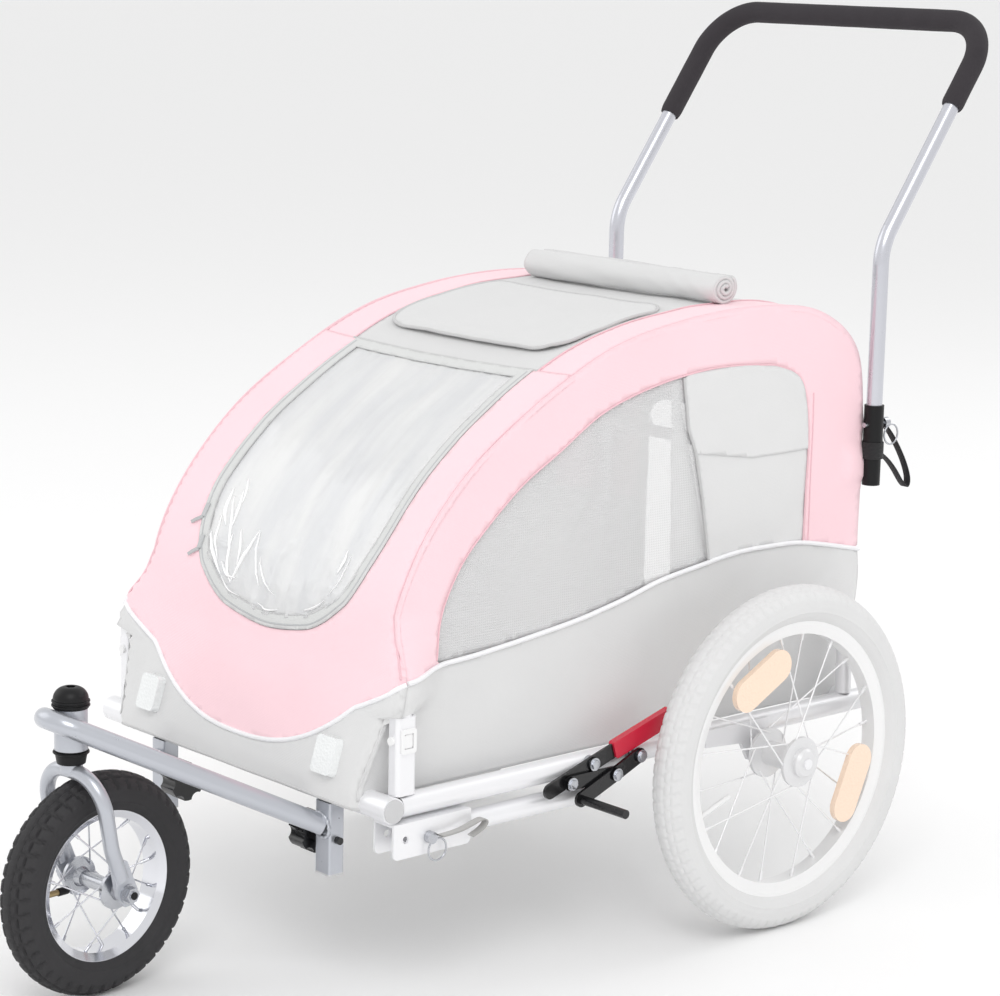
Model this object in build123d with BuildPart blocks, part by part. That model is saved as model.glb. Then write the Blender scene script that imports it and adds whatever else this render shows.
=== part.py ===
"""Pet stroller: a fabric cabin on a tube frame, with two spoked rear wheels, a swivelling front wheel on
a clamped arm, a push handle, parking brakes and a stowed tow arm.

Millimetres, +Z up, the stroller faces -Y. The origin is on the ground, at the middle of its length."""

import os
from math import atan2, cos, degrees, hypot, radians, sin, tan

from build123d import *

os.makedirs("parts", exist_ok=True)

# ---------------------------------------------------------------- driving dimensions
REAR_RADIUS = 200.0  # 16-inch rear tyre
REAR_AXLE = (216.0, 200.0)  # y, z
REAR_WHEEL_X = 301.0  # middle of each rear tyre
FRONT_RADIUS = 121.0
FRONT_AXLE = (-512.5, FRONT_RADIUS)  # y, z with the wheel straight
STEER_Y = -546.0  # the steering axis stands upright here
STEER_REST = 5.2  # degrees that the front wheel is turned at rest

RAIL_X, RAIL_Z, RAIL_R = 243.0, 226.0, 12.5
RAIL_FRONT, RAIL_REAR = -308.0, 411.0
CROSS_FRONT_Y, CROSS_R, CROSS_HALF = -322.0, 14.0, 255.0
CABIN_HALF = 216.0  # outer face of the side fabric
FABRIC = 2.0
FLOOR_Z = 240.0
TUBE_WALL = 1.5
CLEAR = 0.05  # radial clearance of a running fit
SIDES = {"left": 1, "right": -1}  # the stroller's own left is +X

# Side silhouette of the cabin, (y, z): upright front, arched roof, upright back.
FRONT_HEM = (-340, 218)
FRONT_LOW = (-339, 236)
FRONT_CORNER = (-302, 357)
ARCH = [
    FRONT_CORNER, (-285, 437), (-236, 517), (-152, 592), (-10, 668),
    (111, 697), (239, 706), (340, 694), (408, 646), (426, 557),
]  # fmt: skip
REAR_HEM = (422, FLOOR_Z)
FLAP_TOP = (-49, 649)  # where the front window's upper edge crosses the arch
FLAP_TOP_SLOPE = 26.0  # degrees that the arch rises there
ROOF_END_Z = 612.0  # the roof sheet meets the back sheet here


def write(part, node):
    part.label = node
    export_step(part, f"parts/{node}.step")


def rod(start, end, radius):
    """A plain round rod between two points."""
    run = Vector(*end) - Vector(*start)
    with BuildPart() as piece:
        with BuildSketch(Plane(origin=start, z_dir=run)):
            Circle(radius)
        extrude(amount=run.length)
    return piece.part


def bent_tube(points, radii, radius, wall=TUBE_WALL):
    """A tube along straight runs joined by arcs."""
    with BuildPart() as piece:
        with BuildLine() as path:
            FilletPolyline(*points, radius=radii)
        line = path.line
        with BuildSketch(Plane(origin=line @ 0, z_dir=line % 0)):
            Circle(radius)
            if wall:
                Circle(radius - wall, mode=Mode.SUBTRACT)
        sweep(path=line)
    return piece.part


def mirrored(shape):
    return mirror(shape, about=Plane.YZ)


def inset(points, distance):
    """Points moved to the right of their line's direction of travel."""
    moved = []
    for i, (u, v) in enumerate(points):
        before, after = points[max(i - 1, 0)], points[min(i + 1, len(points) - 1)]
        run_u, run_v = after[0] - before[0], after[1] - before[1]
        length = hypot(run_u, run_v)
        moved.append((u + distance * run_v / length, v - distance * run_u / length))
    return moved


def plane_yz(x):
    """A sketch plane across the stroller: local x is Y, local y is Z, and it extrudes towards +X."""
    return Plane(origin=(x, 0, 0), x_dir=(0, 1, 0), z_dir=(1, 0, 0))


# ---------------------------------------------------------------- base frame
def tube_along(axis, start, end, radius, wall=TUBE_WALL):
    with BuildPart() as piece:
        with BuildSketch(Plane(origin=start, z_dir=axis)):
            Circle(radius)
            Circle(radius - wall, mode=Mode.SUBTRACT)
        extrude(amount=(Vector(*end) - Vector(*start)).length)
    return piece.part


left_rail = tube_along((0, 1, 0), (RAIL_X, RAIL_FRONT, RAIL_Z), (RAIL_X, RAIL_REAR, RAIL_Z), RAIL_R)
with BuildPart() as side_rails:
    add(left_rail)
    add(mirrored(left_rail))
write(side_rails.part, "side_rails")

REAR_CROSS_Y = 396.0
rear_reach = RAIL_X - RAIL_R - 0.1
with BuildPart() as cross_tubes:
    add(
        tube_along(
            (1, 0, 0),
            (-CROSS_HALF, CROSS_FRONT_Y, RAIL_Z),
            (CROSS_HALF, CROSS_FRONT_Y, RAIL_Z),
            CROSS_R,
            2.0,
        )
    )
    add(
        tube_along(
            (1, 0, 0),
            (-rear_reach, REAR_CROSS_Y, RAIL_Z),
            (rear_reach, REAR_CROSS_Y, RAIL_Z),
            RAIL_R,
        )
    )
write(cross_tubes.part, "cross_tubes")

# Plastic plugs: a round one in each end of the front cross tube and the back end of each rail, and a
# square one under each leg of the front arm.
LEG_X, LEG_Y, LEG_W, LEG_D = 150.0, -322.0, 25.0, 20.0
LEG_LOW, LEG_TOP = 135.0, 213.0
with BuildPart() as tube_end_caps:
    for side in SIDES.values():
        with BuildSketch(plane_yz(side * CROSS_HALF)):
            with Locations((CROSS_FRONT_Y, RAIL_Z)):
                Circle(CROSS_R - 1.6)
        extrude(amount=side * 1.6)
        with BuildSketch(Plane(origin=(side * RAIL_X, RAIL_REAR, RAIL_Z), z_dir=(0, 1, 0))):
            Circle(RAIL_R)
        extrude(amount=4)
        with BuildSketch(Plane.XY.offset(LEG_LOW)):
            with Locations((side * LEG_X, LEG_Y)):
                RectangleRounded(LEG_W, LEG_D, 2.5)
        extrude(amount=-2)
write(tube_end_caps.part, "tube_end_caps")

# ---------------------------------------------------------------- posts and cabin hoops
POST_Y = -302.0
POST_X_SIZE, POST_Y_SIZE, POST_TOP = 18.0, 26.0, 322.0
HOOP_R = 9.5
HOOP_X = 203.0
RAIL_TOP = RAIL_Z + RAIL_R

with BuildPart() as front_posts:
    for side in SIDES.values():
        with BuildSketch(Plane.XY.offset(RAIL_TOP)):
            with Locations((side * RAIL_X, POST_Y)):
                RectangleRounded(POST_X_SIZE, POST_Y_SIZE, 5)
                Circle(HOOP_R - 1.7, mode=Mode.SUBTRACT)
        extrude(amount=POST_TOP - RAIL_TOP)
write(front_posts.part, "front_posts")

# A clip around each post: a sprung saddle on its outer face and the bolt through its front.
CLASP_Z = 297.0
with BuildPart() as post_clasps:
    for side in SIDES.values():
        face_x = side * (RAIL_X + POST_X_SIZE / 2)
        with BuildSketch(plane_yz(face_x + side * 0.1)):
            with Locations((POST_Y, CLASP_Z)):
                RectangleRounded(20, 26, 3)
                Rectangle(12, 16, mode=Mode.SUBTRACT)
        extrude(amount=side * 2.6)
        with BuildSketch(plane_yz(face_x + side * 0.1)):
            with Locations((POST_Y, CLASP_Z)):
                RectangleRounded(10.5, 14.5, 2)
        extrude(amount=side * 1.6)
        with BuildSketch(Plane(origin=(side * RAIL_X, POST_Y - POST_Y_SIZE / 2 - 0.1, CLASP_Z), z_dir=(0, -1, 0))):
            Circle(4.5)
        extrude(amount=3)
write(post_clasps.part, "post_clasps")

hoop_points = [
    (RAIL_X, POST_Y, POST_TOP + 0.1), (RAIL_X, POST_Y, 338), (HOOP_X, -270, 412), (HOOP_X, -248, 468),
    (HOOP_X, -190, 533), (HOOP_X, -90, 603), (HOOP_X, 40, 662), (HOOP_X, 160, 683), (HOOP_X, 290, 686),
    (HOOP_X, 372, 658), (HOOP_X, 404, 590), (HOOP_X, 406, 400), (RAIL_X, 379, 322), (RAIL_X, 379, RAIL_TOP + 0.1),
]  # fmt: skip
hoop_radii = [30, 60, 90, 200, 300, 200, 200, 90, 60, 90, 60, 30]
# Three bars tie the two hoops together, under the roof and across the back.
BAR_R = 8.0
BAR_PLACES = [(-193, 526), (160, 683), (405, 500)]
bar_reach = HOOP_X - HOOP_R + 1.5
left_hoop = bent_tube(hoop_points, hoop_radii, HOOP_R)
with BuildPart() as side_hoops:
    add(left_hoop)
    add(mirrored(left_hoop))
    for y, z in BAR_PLACES:
        add(tube_along((1, 0, 0), (-bar_reach, y, z), (bar_reach, y, z), BAR_R))
write(side_hoops.part, "side_hoops")

# ---------------------------------------------------------------- cabin fabric
ARCH_ENDS = [(0.13, 1), (0, -1)]  # the arch's directions at its two ends
outer_line = [FRONT_HEM, FRONT_LOW, *ARCH, REAR_HEM]
inner_line = inset(outer_line, FABRIC)
with BuildPart() as cabin_block:
    with BuildSketch(plane_yz(-CABIN_HALF + FABRIC + 0.2)):
        with BuildLine():
            Polyline(*outer_line[:3])
            Spline(*ARCH, tangents=ARCH_ENDS)
            Polyline(ARCH[-1], REAR_HEM, inner_line[-1], inner_line[-2])
            Spline(*inner_line[2:-1], tangents=ARCH_ENDS)
            Polyline(inner_line[2], inner_line[1], inner_line[0], FRONT_HEM)
        make_face()
    extrude(amount=2 * (CABIN_HALF - FABRIC - 0.2))
cabin_sheet = cabin_block.part

slope = radians(FLAP_TOP_SLOPE)
flap_cut = Plane(origin=(0, *FLAP_TOP), x_dir=(1, 0, 0), z_dir=(0, cos(slope), sin(slope)))
roof_cut = Plane.XY.offset(ROOF_END_Z)
front_region = split(cabin_sheet, bisect_by=flap_cut, keep=Keep.BOTTOM)
behind_flap = split(cabin_sheet, bisect_by=flap_cut.offset(0.2), keep=Keep.TOP)
roof_region = split(behind_flap, bisect_by=roof_cut, keep=Keep.TOP)
rear_region = split(behind_flap, bisect_by=roof_cut.offset(-0.2), keep=Keep.BOTTOM)

WINDOW_SIDE = [(65, 377), (95, 389), (121, 408), (135, 423), (150, 455), (160, 505), (158, 570)]
WINDOW_TOP = (153, 655)
BORDER = 16.0
window_line = [*WINDOW_SIDE, WINDOW_TOP]
window_line = [(-u, v) for u, v in reversed(window_line)] + [(0, 369)] + window_line


def front_window(inward):
    """The front window's outline seen from the front, drawn in X and Z and cut back along +Y."""
    top = WINDOW_TOP[1] - inward
    points = inset(window_line, -inward)
    points[0], points[-1] = (points[0][0], top), (points[-1][0], top)
    with BuildPart() as cutter:
        with BuildSketch(Plane(origin=(0, -400, 0), x_dir=(1, 0, 0), z_dir=(0, -1, 0))):
            with BuildLine():
                Spline(*points)
                Line(points[-1], points[0])
            make_face()
        extrude(amount=-450)
    return cutter.part


with BuildPart() as front_cover:
    add(front_region)
    add(front_window(0), mode=Mode.SUBTRACT)
write(front_cover.part, "front_cover")

flap_gap = 0.5
with BuildPart() as window_flap_border:
    add(split(cabin_sheet, bisect_by=flap_cut.offset(-flap_gap), keep=Keep.BOTTOM))
    add(front_window(flap_gap), mode=Mode.INTERSECT)
    add(front_window(BORDER), mode=Mode.SUBTRACT)
write(window_flap_border.part, "window_flap_border")

with BuildPart() as window_flap_mesh:
    add(split(cabin_sheet, bisect_by=flap_cut.offset(-flap_gap), keep=Keep.BOTTOM))
    add(front_window(BORDER + 0.1), mode=Mode.INTERSECT)
write(window_flap_mesh.part, "window_flap_mesh")

# Roof vent: a raised rounded frame with mesh inside it, across the middle of the roof.
VENT_FRONT, VENT_REAR, VENT_HALF, VENT_RIM = -15.0, 165.0, 150.0, 14.0
with BuildPart() as vent_block:
    with BuildSketch(Plane.XY.offset(600)):
        with Locations((0, (VENT_FRONT + VENT_REAR) / 2)):
            RectangleRounded(2 * VENT_HALF, VENT_REAR - VENT_FRONT, 40)
    extrude(amount=150)
with BuildPart() as vent_hole:
    with BuildSketch(Plane.XY.offset(600)):
        with Locations((0, (VENT_FRONT + VENT_REAR) / 2)):
            RectangleRounded(2 * (VENT_HALF - VENT_RIM), VENT_REAR - VENT_FRONT - 2 * VENT_RIM, 28)
    extrude(amount=150)

with BuildPart() as roof_cover:
    add(roof_region)
    add(vent_hole.part, mode=Mode.SUBTRACT)
write(roof_cover.part, "roof_cover")

vent_rise = Pos(0, 0, FABRIC + 0.3) * roof_region
with BuildPart() as roof_vent:
    add(vent_rise)
    add(vent_block.part, mode=Mode.INTERSECT)
write(roof_vent.part, "roof_vent")

with BuildPart() as rear_cover:
    add(rear_region)
write(rear_cover.part, "rear_cover")

ROLL_R, ROLL_Y, ROLL_Z, ROLL_HALF = 16.0, 226.0, 723.0, 165.0
with BuildPart() as rolled_cover:
    with BuildSketch(plane_yz(-ROLL_HALF)):
        with Locations((ROLL_Y, ROLL_Z)):
            Ellipse(ROLL_R * 1.15, ROLL_R * 0.93)
    extrude(amount=2 * ROLL_HALF)
    fillet(rolled_cover.edges().group_by(Axis.X)[0] + rolled_cover.edges().group_by(Axis.X)[-1], 4)
write(rolled_cover.part, "rolled_cover")

FLOOR_FRONT, FLOOR_REAR = -334.0, 419.0
with BuildPart() as floor_panel:
    with BuildSketch(Plane.XY.offset(FLOOR_Z + 0.1)):
        with Locations((0, (FLOOR_FRONT + FLOOR_REAR) / 2)):
            Rectangle(2 * (CABIN_HALF - FABRIC - 0.5), FLOOR_REAR - FLOOR_FRONT)
    extrude(amount=FABRIC)
write(floor_panel.part, "floor_panel")

# Side sheets: the silhouette of the cabin, with a window of mesh in front and a pocket panel behind it.
SIDE_HEM_Z = FLOOR_Z + 0.3
WINDOW_FRONT = [(-238, 366), (-230, 408), (-211, 448), (-184, 482), (-122, 535), (-65, 569), (-7, 603)]
WINDOW_ROOF = [(53, 623), (114, 635), (177, 641), (243, 638), (276, 634), (311, 618)]
WINDOW_REAR = [(325, 585), (330, 531), (329, 484), (328, 418)]
WINDOW_SILL = [(289, 424), (221, 424), (156, 416), (93, 407), (32, 392), (-29, 380), (-88, 372)]
POCKET_FRONT, POCKET_SILL, POCKET_TOP = 132.0, 398.0, 600.0


def side_window(inward):
    upper = inset([*WINDOW_FRONT, *WINDOW_ROOF, *WINDOW_REAR], inward)
    sill = inset(WINDOW_SILL, inward)
    with BuildSketch() as outline:
        with BuildLine():
            Spline(*upper)
            Spline(upper[-1], *sill, upper[0])
        make_face()
    return outline.sketch


with BuildPart() as left_side_sheet:
    with BuildSketch(plane_yz(CABIN_HALF - FABRIC)):
        with BuildLine():
            Line((FRONT_LOW[0] + 1, SIDE_HEM_Z), FRONT_CORNER)
            Spline(*ARCH, tangents=ARCH_ENDS)
            Polyline(ARCH[-1], (REAR_HEM[0], SIDE_HEM_Z), (FRONT_LOW[0] + 1, SIDE_HEM_Z))
        make_face()
        add(side_window(0), mode=Mode.SUBTRACT)
    extrude(amount=FABRIC)
with BuildPart() as left_window_sheet:
    with BuildSketch(plane_yz(CABIN_HALF - FABRIC)):
        add(side_window(0.4))
    extrude(amount=FABRIC)
with BuildPart() as side_fabric:
    add(left_side_sheet.part)
    add(mirrored(left_side_sheet.part))
write(side_fabric.part, "side_fabric")

# A pocket panel lies on the rear half of each side window.
with BuildPart() as left_pocket:
    with BuildSketch(plane_yz(CABIN_HALF + 0.1)):
        with BuildLine():
            Polyline((POCKET_FRONT, 560), (POCKET_FRONT, 420), (318, 428))
            Line((318, 428), (318, 590))
            Spline((318, 590), (250, 612), (POCKET_FRONT, POCKET_TOP))
            Line((POCKET_FRONT, POCKET_TOP), (POCKET_FRONT, 560))
        make_face()
    extrude(amount=4)
with BuildPart() as side_windows:
    add(left_window_sheet.part)
    add(left_pocket.part)
    add(mirrored(left_window_sheet.part))
    add(mirrored(left_pocket.part))
write(side_windows.part, "side_windows")

# A clear reflector low on each side of the front sheet, square to its lean.
front_lean = atan2(FRONT_CORNER[0] - FRONT_LOW[0], FRONT_CORNER[1] - FRONT_LOW[1])
REFLECTOR_X, REFLECTOR_Z = 160.0, 265.0
reflector_y = FRONT_LOW[0] + (REFLECTOR_Z - FRONT_LOW[1]) * tan(front_lean) - 0.2
with BuildPart() as front_reflectors:
    for side in SIDES.values():
        origin = (side * REFLECTOR_X, reflector_y, REFLECTOR_Z)
        with BuildSketch(Plane(origin=origin, x_dir=(1, 0, 0), z_dir=(0, -cos(front_lean), sin(front_lean)))):
            RectangleRounded(34, 42, 6)
        extrude(amount=10, taper=6)
write(front_reflectors.part, "front_reflectors")

# ---------------------------------------------------------------- spoked wheels
def revolved(profile_plane, outline, axis):
    with BuildPart() as piece:
        with BuildSketch(profile_plane):
            with BuildLine():
                Polyline(*outline, close=True)
            make_face()
        revolve(axis=axis)
    return piece.part


def make_tyre(plane, axis, radius, half_width, seat, bead_half):
    """A tyre: round in section above its seat, with a bead between the rim's flanges."""
    with BuildPart() as piece:
        with BuildSketch(plane):
            with Locations((0, radius - half_width)):
                Circle(half_width)
            with Locations((0, seat - 50)):
                Rectangle(4 * half_width, 100, mode=Mode.SUBTRACT)
            with Locations((0, seat - 4)):
                Rectangle(2 * bead_half, 9)
        revolve(axis=axis)
    return piece.part


def make_rim(plane, axis, seat, half, inner):
    """A rim: a channel that holds the tyre's bead, narrower towards the hub."""
    outline = [
        (-half, seat - 1), (-half + 2, seat - 1), (-half + 2, seat - 9), (half - 2, seat - 9),
        (half - 2, seat - 1), (half, seat - 1), (half, seat - 7), (half * 0.72, inner),
        (-half * 0.72, inner), (-half, seat - 7),
    ]  # fmt: skip
    return revolved(plane, outline, axis)


def make_spokes(centre, count, hub_r, hub_x, rim_r, lean):
    """Crossed wire spokes with a nipple each; lean is the angle between a spoke's two ends."""
    x, y, z = centre
    spokes = []
    for i in range(count):
        flange = 1 if i % 2 else -1
        trailing = 1 if (i // 2) % 2 else -1
        rim_angle = radians(360 * i / count + 7)
        hub_angle = rim_angle + trailing * radians(lean)
        start_x = x + flange * (hub_x + 2.0 * trailing)
        start = Vector(start_x, y + hub_r * cos(hub_angle), z + hub_r * sin(hub_angle))
        end = Vector(x + flange * 3, y + rim_r * cos(rim_angle), z + rim_r * sin(rim_angle))
        run = (end - start).normalized()
        spokes.append(rod(tuple(start), tuple(end - run * 11), 0.95))
        spokes.append(rod(tuple(end - run * 11), tuple(end), 1.9))
    with BuildPart() as piece:
        add(spokes)
    return piece.part


def wheel_plane(x, y, z):
    return Plane(origin=(x, y, z), x_dir=(1, 0, 0), z_dir=(0, -1, 0))


AXLE_R = 6.0
HUB_IN, HUB_OUT = -35.0, 37.0
for name, side in SIDES.items():
    centre = (side * REAR_WHEEL_X, *REAR_AXLE)
    plane = wheel_plane(*centre)
    spin = Axis(centre, (1, 0, 0))
    write(make_tyre(plane, spin, REAR_RADIUS, 21.5, 163.0, 10.8), f"{name}_tyre")

    rim = make_rim(plane, spin, 163.0, 13.0, 145.0)
    valve = rod((centre[0], 216 - 121 * 1.18, 200 - 42 * 1.18), (centre[0], 216 - 88, 200 - 30.6), 3.0)
    with BuildPart() as rim_and_valve:
        add(rim)
        add(valve)
    write(rim_and_valve.part, f"{name}_rim")

    write(make_spokes(centre, 20, 24.0, 25.0, 146.0, 62), f"{name}_spokes")

    bore = AXLE_R + CLEAR
    hub_outline = [
        (HUB_IN, bore), (HUB_IN, 11), (-29, 13), (-27, 29), (-23, 29), (-21, 14), (21, 14), (23, 29),
        (27, 29), (29, 17), (HUB_OUT - 3, 17), (HUB_OUT, 14), (HUB_OUT, bore),
    ]  # fmt: skip
    if side < 0:
        hub_outline = [(-u, v) for u, v in hub_outline]
    write(revolved(plane, hub_outline, spin), f"{name}_hub")

    # Two oblong reflectors clipped between the spokes.
    with BuildPart() as reflectors:
        for angle in (118.0, -24.0):
            middle = 114.0
            out_y = REAR_AXLE[0] + middle * cos(radians(angle))
            out_z = REAR_AXLE[1] + middle * sin(radians(angle))
            face = Plane(
                origin=(side * (REAR_WHEEL_X + 8.5), out_y, out_z),
                x_dir=(0, -sin(radians(angle)), cos(radians(angle))),
                z_dir=(side, 0, 0),
            )
            with BuildSketch(face):
                SlotOverall(94, 38)
            extrude(amount=7)
    write(reflectors.part, f"{name}_reflectors")

# Axle brackets: a plate on the outside of each rail, with the fixed axle that the hub turns on.
BRACKET_IN, BRACKET_OUT = RAIL_X + RAIL_R + 0.1, 261.0
with BuildPart() as axle_brackets:
    for side in SIDES.values():
        with BuildSketch(plane_yz(side * BRACKET_IN)):
            with BuildLine():
                Polyline((130, 236), (231, 236), (231, 200), (216, 184), (201, 190), (188, 212), (130, 216), close=True)
            make_face()
        extrude(amount=side * (BRACKET_OUT - BRACKET_IN))
        with BuildSketch(plane_yz(side * BRACKET_OUT)):
            with Locations(REAR_AXLE):
                Circle(12)
        extrude(amount=side * (REAR_WHEEL_X + HUB_IN - 0.5 - BRACKET_OUT))
        with BuildSketch(plane_yz(side * BRACKET_OUT)):
            with Locations(REAR_AXLE):
                Circle(AXLE_R)
        extrude(amount=side * (REAR_WHEEL_X + HUB_OUT + 2 - BRACKET_OUT))
write(axle_brackets.part, "axle_brackets")

# ---------------------------------------------------------------- front arm
# Each leg is a square tube cut to a saddle under the front cross tube. The arm is one U-shaped tube in
# a plane that rises towards its front, bent round the head tube.
ARM_R = 11.0
HEAD_R, HEAD_LOW, HEAD_TOP = 17.5, 274.0, 318.0
ARM_START = (LEG_Y - LEG_D / 2 + 1.0, 187.0)
ARM_RISE = 26.9
KNOB_Z = 172.0
BOLT_R = 4.0

with BuildPart() as arm_legs:
    for side in SIDES.values():
        with BuildSketch(Plane.XY.offset(LEG_LOW)):
            with Locations((side * LEG_X, LEG_Y)):
                RectangleRounded(LEG_W, LEG_D, 2.5)
                Rectangle(LEG_W - 3, LEG_D - 3, mode=Mode.SUBTRACT)
        extrude(amount=LEG_TOP - LEG_LOW)
    with BuildSketch(plane_yz(-LEG_X - LEG_W)):
        with Locations((CROSS_FRONT_Y, RAIL_Z)):
            Circle(CROSS_R + 0.1)
        with Locations((LEG_Y, KNOB_Z)):
            Circle(BOLT_R + CLEAR)
    extrude(amount=2 * (LEG_X + LEG_W), mode=Mode.SUBTRACT)
write(arm_legs.part, "arm_legs")

rise = radians(ARM_RISE)
arm_plane = Plane(origin=(0, *ARM_START), x_dir=(1, 0, 0), z_dir=(0, sin(rise), cos(rise)))
head_distance = (ARM_START[0] - STEER_Y) / cos(rise)
bend = HEAD_R + ARM_R + 0.2
nose = head_distance + bend
with BuildPart() as arm_hoop:
    with BuildLine(arm_plane) as arm_path:
        FilletPolyline((LEG_X, 0), (18.5, -nose), (-18.5, -nose), (-LEG_X, 0), radius=bend)
    with BuildSketch(Plane(origin=arm_path.line @ 0, z_dir=arm_path.line % 0)):
        Circle(ARM_R)
        Circle(ARM_R - TUBE_WALL, mode=Mode.SUBTRACT)
    sweep(path=arm_path.line)
write(arm_hoop.part, "arm_hoop")

STEERER_R = 12.0
steer_axis = Axis((0, STEER_Y, 0), (0, 0, 1))
steer_plane = wheel_plane(0, STEER_Y, 0)
head_bore = STEERER_R + CLEAR
head_outline = [(head_bore, HEAD_LOW), (HEAD_R, HEAD_LOW), (HEAD_R, HEAD_TOP), (head_bore, HEAD_TOP)]
write(revolved(steer_plane, head_outline, steer_axis), "head_tube")

# Black covers of the head tube: a tapered collar below it and a domed cap, with a hexagon recess, above.
CROWN_TOP = 258.5
with BuildPart() as head_caps:
    add(
        revolved(
            steer_plane,
            [(head_bore, CROWN_TOP + 0.6), (15, CROWN_TOP + 0.6), (17.8, HEAD_LOW - 0.1), (head_bore, HEAD_LOW - 0.1)],
            steer_axis,
        )
    )
    with BuildSketch(steer_plane):
        with BuildLine():
            Line((0, HEAD_TOP + 0.3), (18.5, HEAD_TOP + 0.3))
            Line((18.5, HEAD_TOP + 0.3), (18.5, HEAD_TOP + 11))
            ThreePointArc((18.5, HEAD_TOP + 11), (14.5, HEAD_TOP + 19), (7, HEAD_TOP + 22.5))
            Line((7, HEAD_TOP + 22.5), (0, HEAD_TOP + 22.5))
            Line((0, HEAD_TOP + 22.5), (0, HEAD_TOP + 0.3))
        make_face()
    revolve(axis=steer_axis)
    with BuildSketch(Plane.XY.offset(HEAD_TOP + 22.5)):
        with Locations((0, STEER_Y)):
            RegularPolygon(5.5, 6)
    extrude(amount=-6, mode=Mode.SUBTRACT)
write(head_caps.part, "head_caps")

# A star knob inside each leg draws the arm's clamp bolt tight.
KNOB_R, KNOB_IN, KNOB_OUT = 22.0, 106.0, 130.0
for name, side in SIDES.items():
    with BuildPart() as knob:
        with BuildSketch(plane_yz(side * KNOB_IN)):
            with Locations((LEG_Y, KNOB_Z)):
                Circle(KNOB_R)
                with PolarLocations(KNOB_R + 3.5, 6):
                    Circle(8, mode=Mode.SUBTRACT)
        extrude(amount=side * (KNOB_OUT - KNOB_IN))
        with BuildSketch(plane_yz(side * KNOB_OUT)):
            with Locations((LEG_Y, KNOB_Z)):
                Circle(10)
        extrude(amount=side * (LEG_X - LEG_W / 2 - 0.3 - KNOB_OUT))
        with BuildSketch(plane_yz(side * KNOB_OUT)):
            with Locations((LEG_Y, KNOB_Z)):
                Circle(BOLT_R)
        extrude(amount=side * (LEG_X + LEG_W / 2 + 6 - KNOB_OUT))
    write(knob.part, f"{name}_star_knob")

# ---------------------------------------------------------------- fork and front wheel, drawn straight
FORK_X, FORK_R = 48.0, 8.25
FORK_Z = CROWN_TOP - FORK_R
front_y, front_z = FRONT_AXLE
FRONT_AXLE_R = 5.0


def turned(shape):
    """Turn a piece of the front wheel group about the steering axis to where it rests."""
    return shape.rotate(steer_axis, STEER_REST)


with BuildPart() as fork:
    with BuildLine() as fork_path:
        FilletPolyline(
            (FORK_X, front_y - 4, front_z + 9),
            (FORK_X, STEER_Y + 14, 172),
            (FORK_X, STEER_Y, FORK_Z),
            (-FORK_X, STEER_Y, FORK_Z),
            (-FORK_X, STEER_Y + 14, 172),
            (-FORK_X, front_y - 4, front_z + 9),
            radius=[70, 40, 40, 70],
        )
    with BuildSketch(Plane(origin=fork_path.line @ 0, z_dir=fork_path.line % 0)):
        Circle(FORK_R)
    sweep(path=fork_path.line)
    for side in SIDES.values():
        with BuildSketch(plane_yz(side * (FORK_X - 3))) as dropout:
            with BuildLine():
                Polyline(
                    (front_y - 13, front_z - 2), (front_y - 5, front_z - 14), (front_y + 8, front_z - 13),
                    (front_y + 13, front_z + 2), (front_y - 2, front_z + 38), (front_y - 20, front_z + 32),
                    close=True,
                )  # fmt: skip
            make_face()
            fillet(dropout.vertices(), 3.5)
            with Locations(FRONT_AXLE):
                Circle(FRONT_AXLE_R + 0.1, mode=Mode.SUBTRACT)
        extrude(amount=side * 6)
    with BuildSketch(Plane.XY.offset(FORK_Z)):
        with Locations((0, STEER_Y)):
            Circle(STEERER_R)
    extrude(amount=HEAD_TOP - FORK_Z)
    # Each leg's end is squeezed flat against its dropout: nothing of the tube stays inside it.
    for side in SIDES.values():
        with BuildSketch(plane_yz(side * (FORK_X - 3))):
            with Locations((front_y, front_z + 2)):
                Circle(17)
        extrude(amount=side * -20, mode=Mode.SUBTRACT)
        with BuildSketch(plane_yz(side * (FORK_X + 3))):
            with Locations((front_y, front_z + 2)):
                Circle(17)
        extrude(amount=side * 20, mode=Mode.SUBTRACT)
write(turned(fork.part), "fork")

front_plane = wheel_plane(0, *FRONT_AXLE)
front_spin = Axis((0, *FRONT_AXLE), (1, 0, 0))
with BuildPart() as front_axle:
    with BuildSketch(plane_yz(-FORK_X - 13)):
        with Locations(FRONT_AXLE):
            Circle(FRONT_AXLE_R)
    extrude(amount=2 * (FORK_X + 13))
    for side in SIDES.values():
        with BuildSketch(plane_yz(side * (FORK_X + 3.1))):
            with Locations(FRONT_AXLE):
                Circle(10.5)
        extrude(amount=side * 1.6)
        with BuildSketch(plane_yz(side * (FORK_X + 4.7))):
            with Locations(FRONT_AXLE):
                RegularPolygon(8.6, 6)
        extrude(amount=side * 7)
write(turned(front_axle.part), "front_axle")

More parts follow.
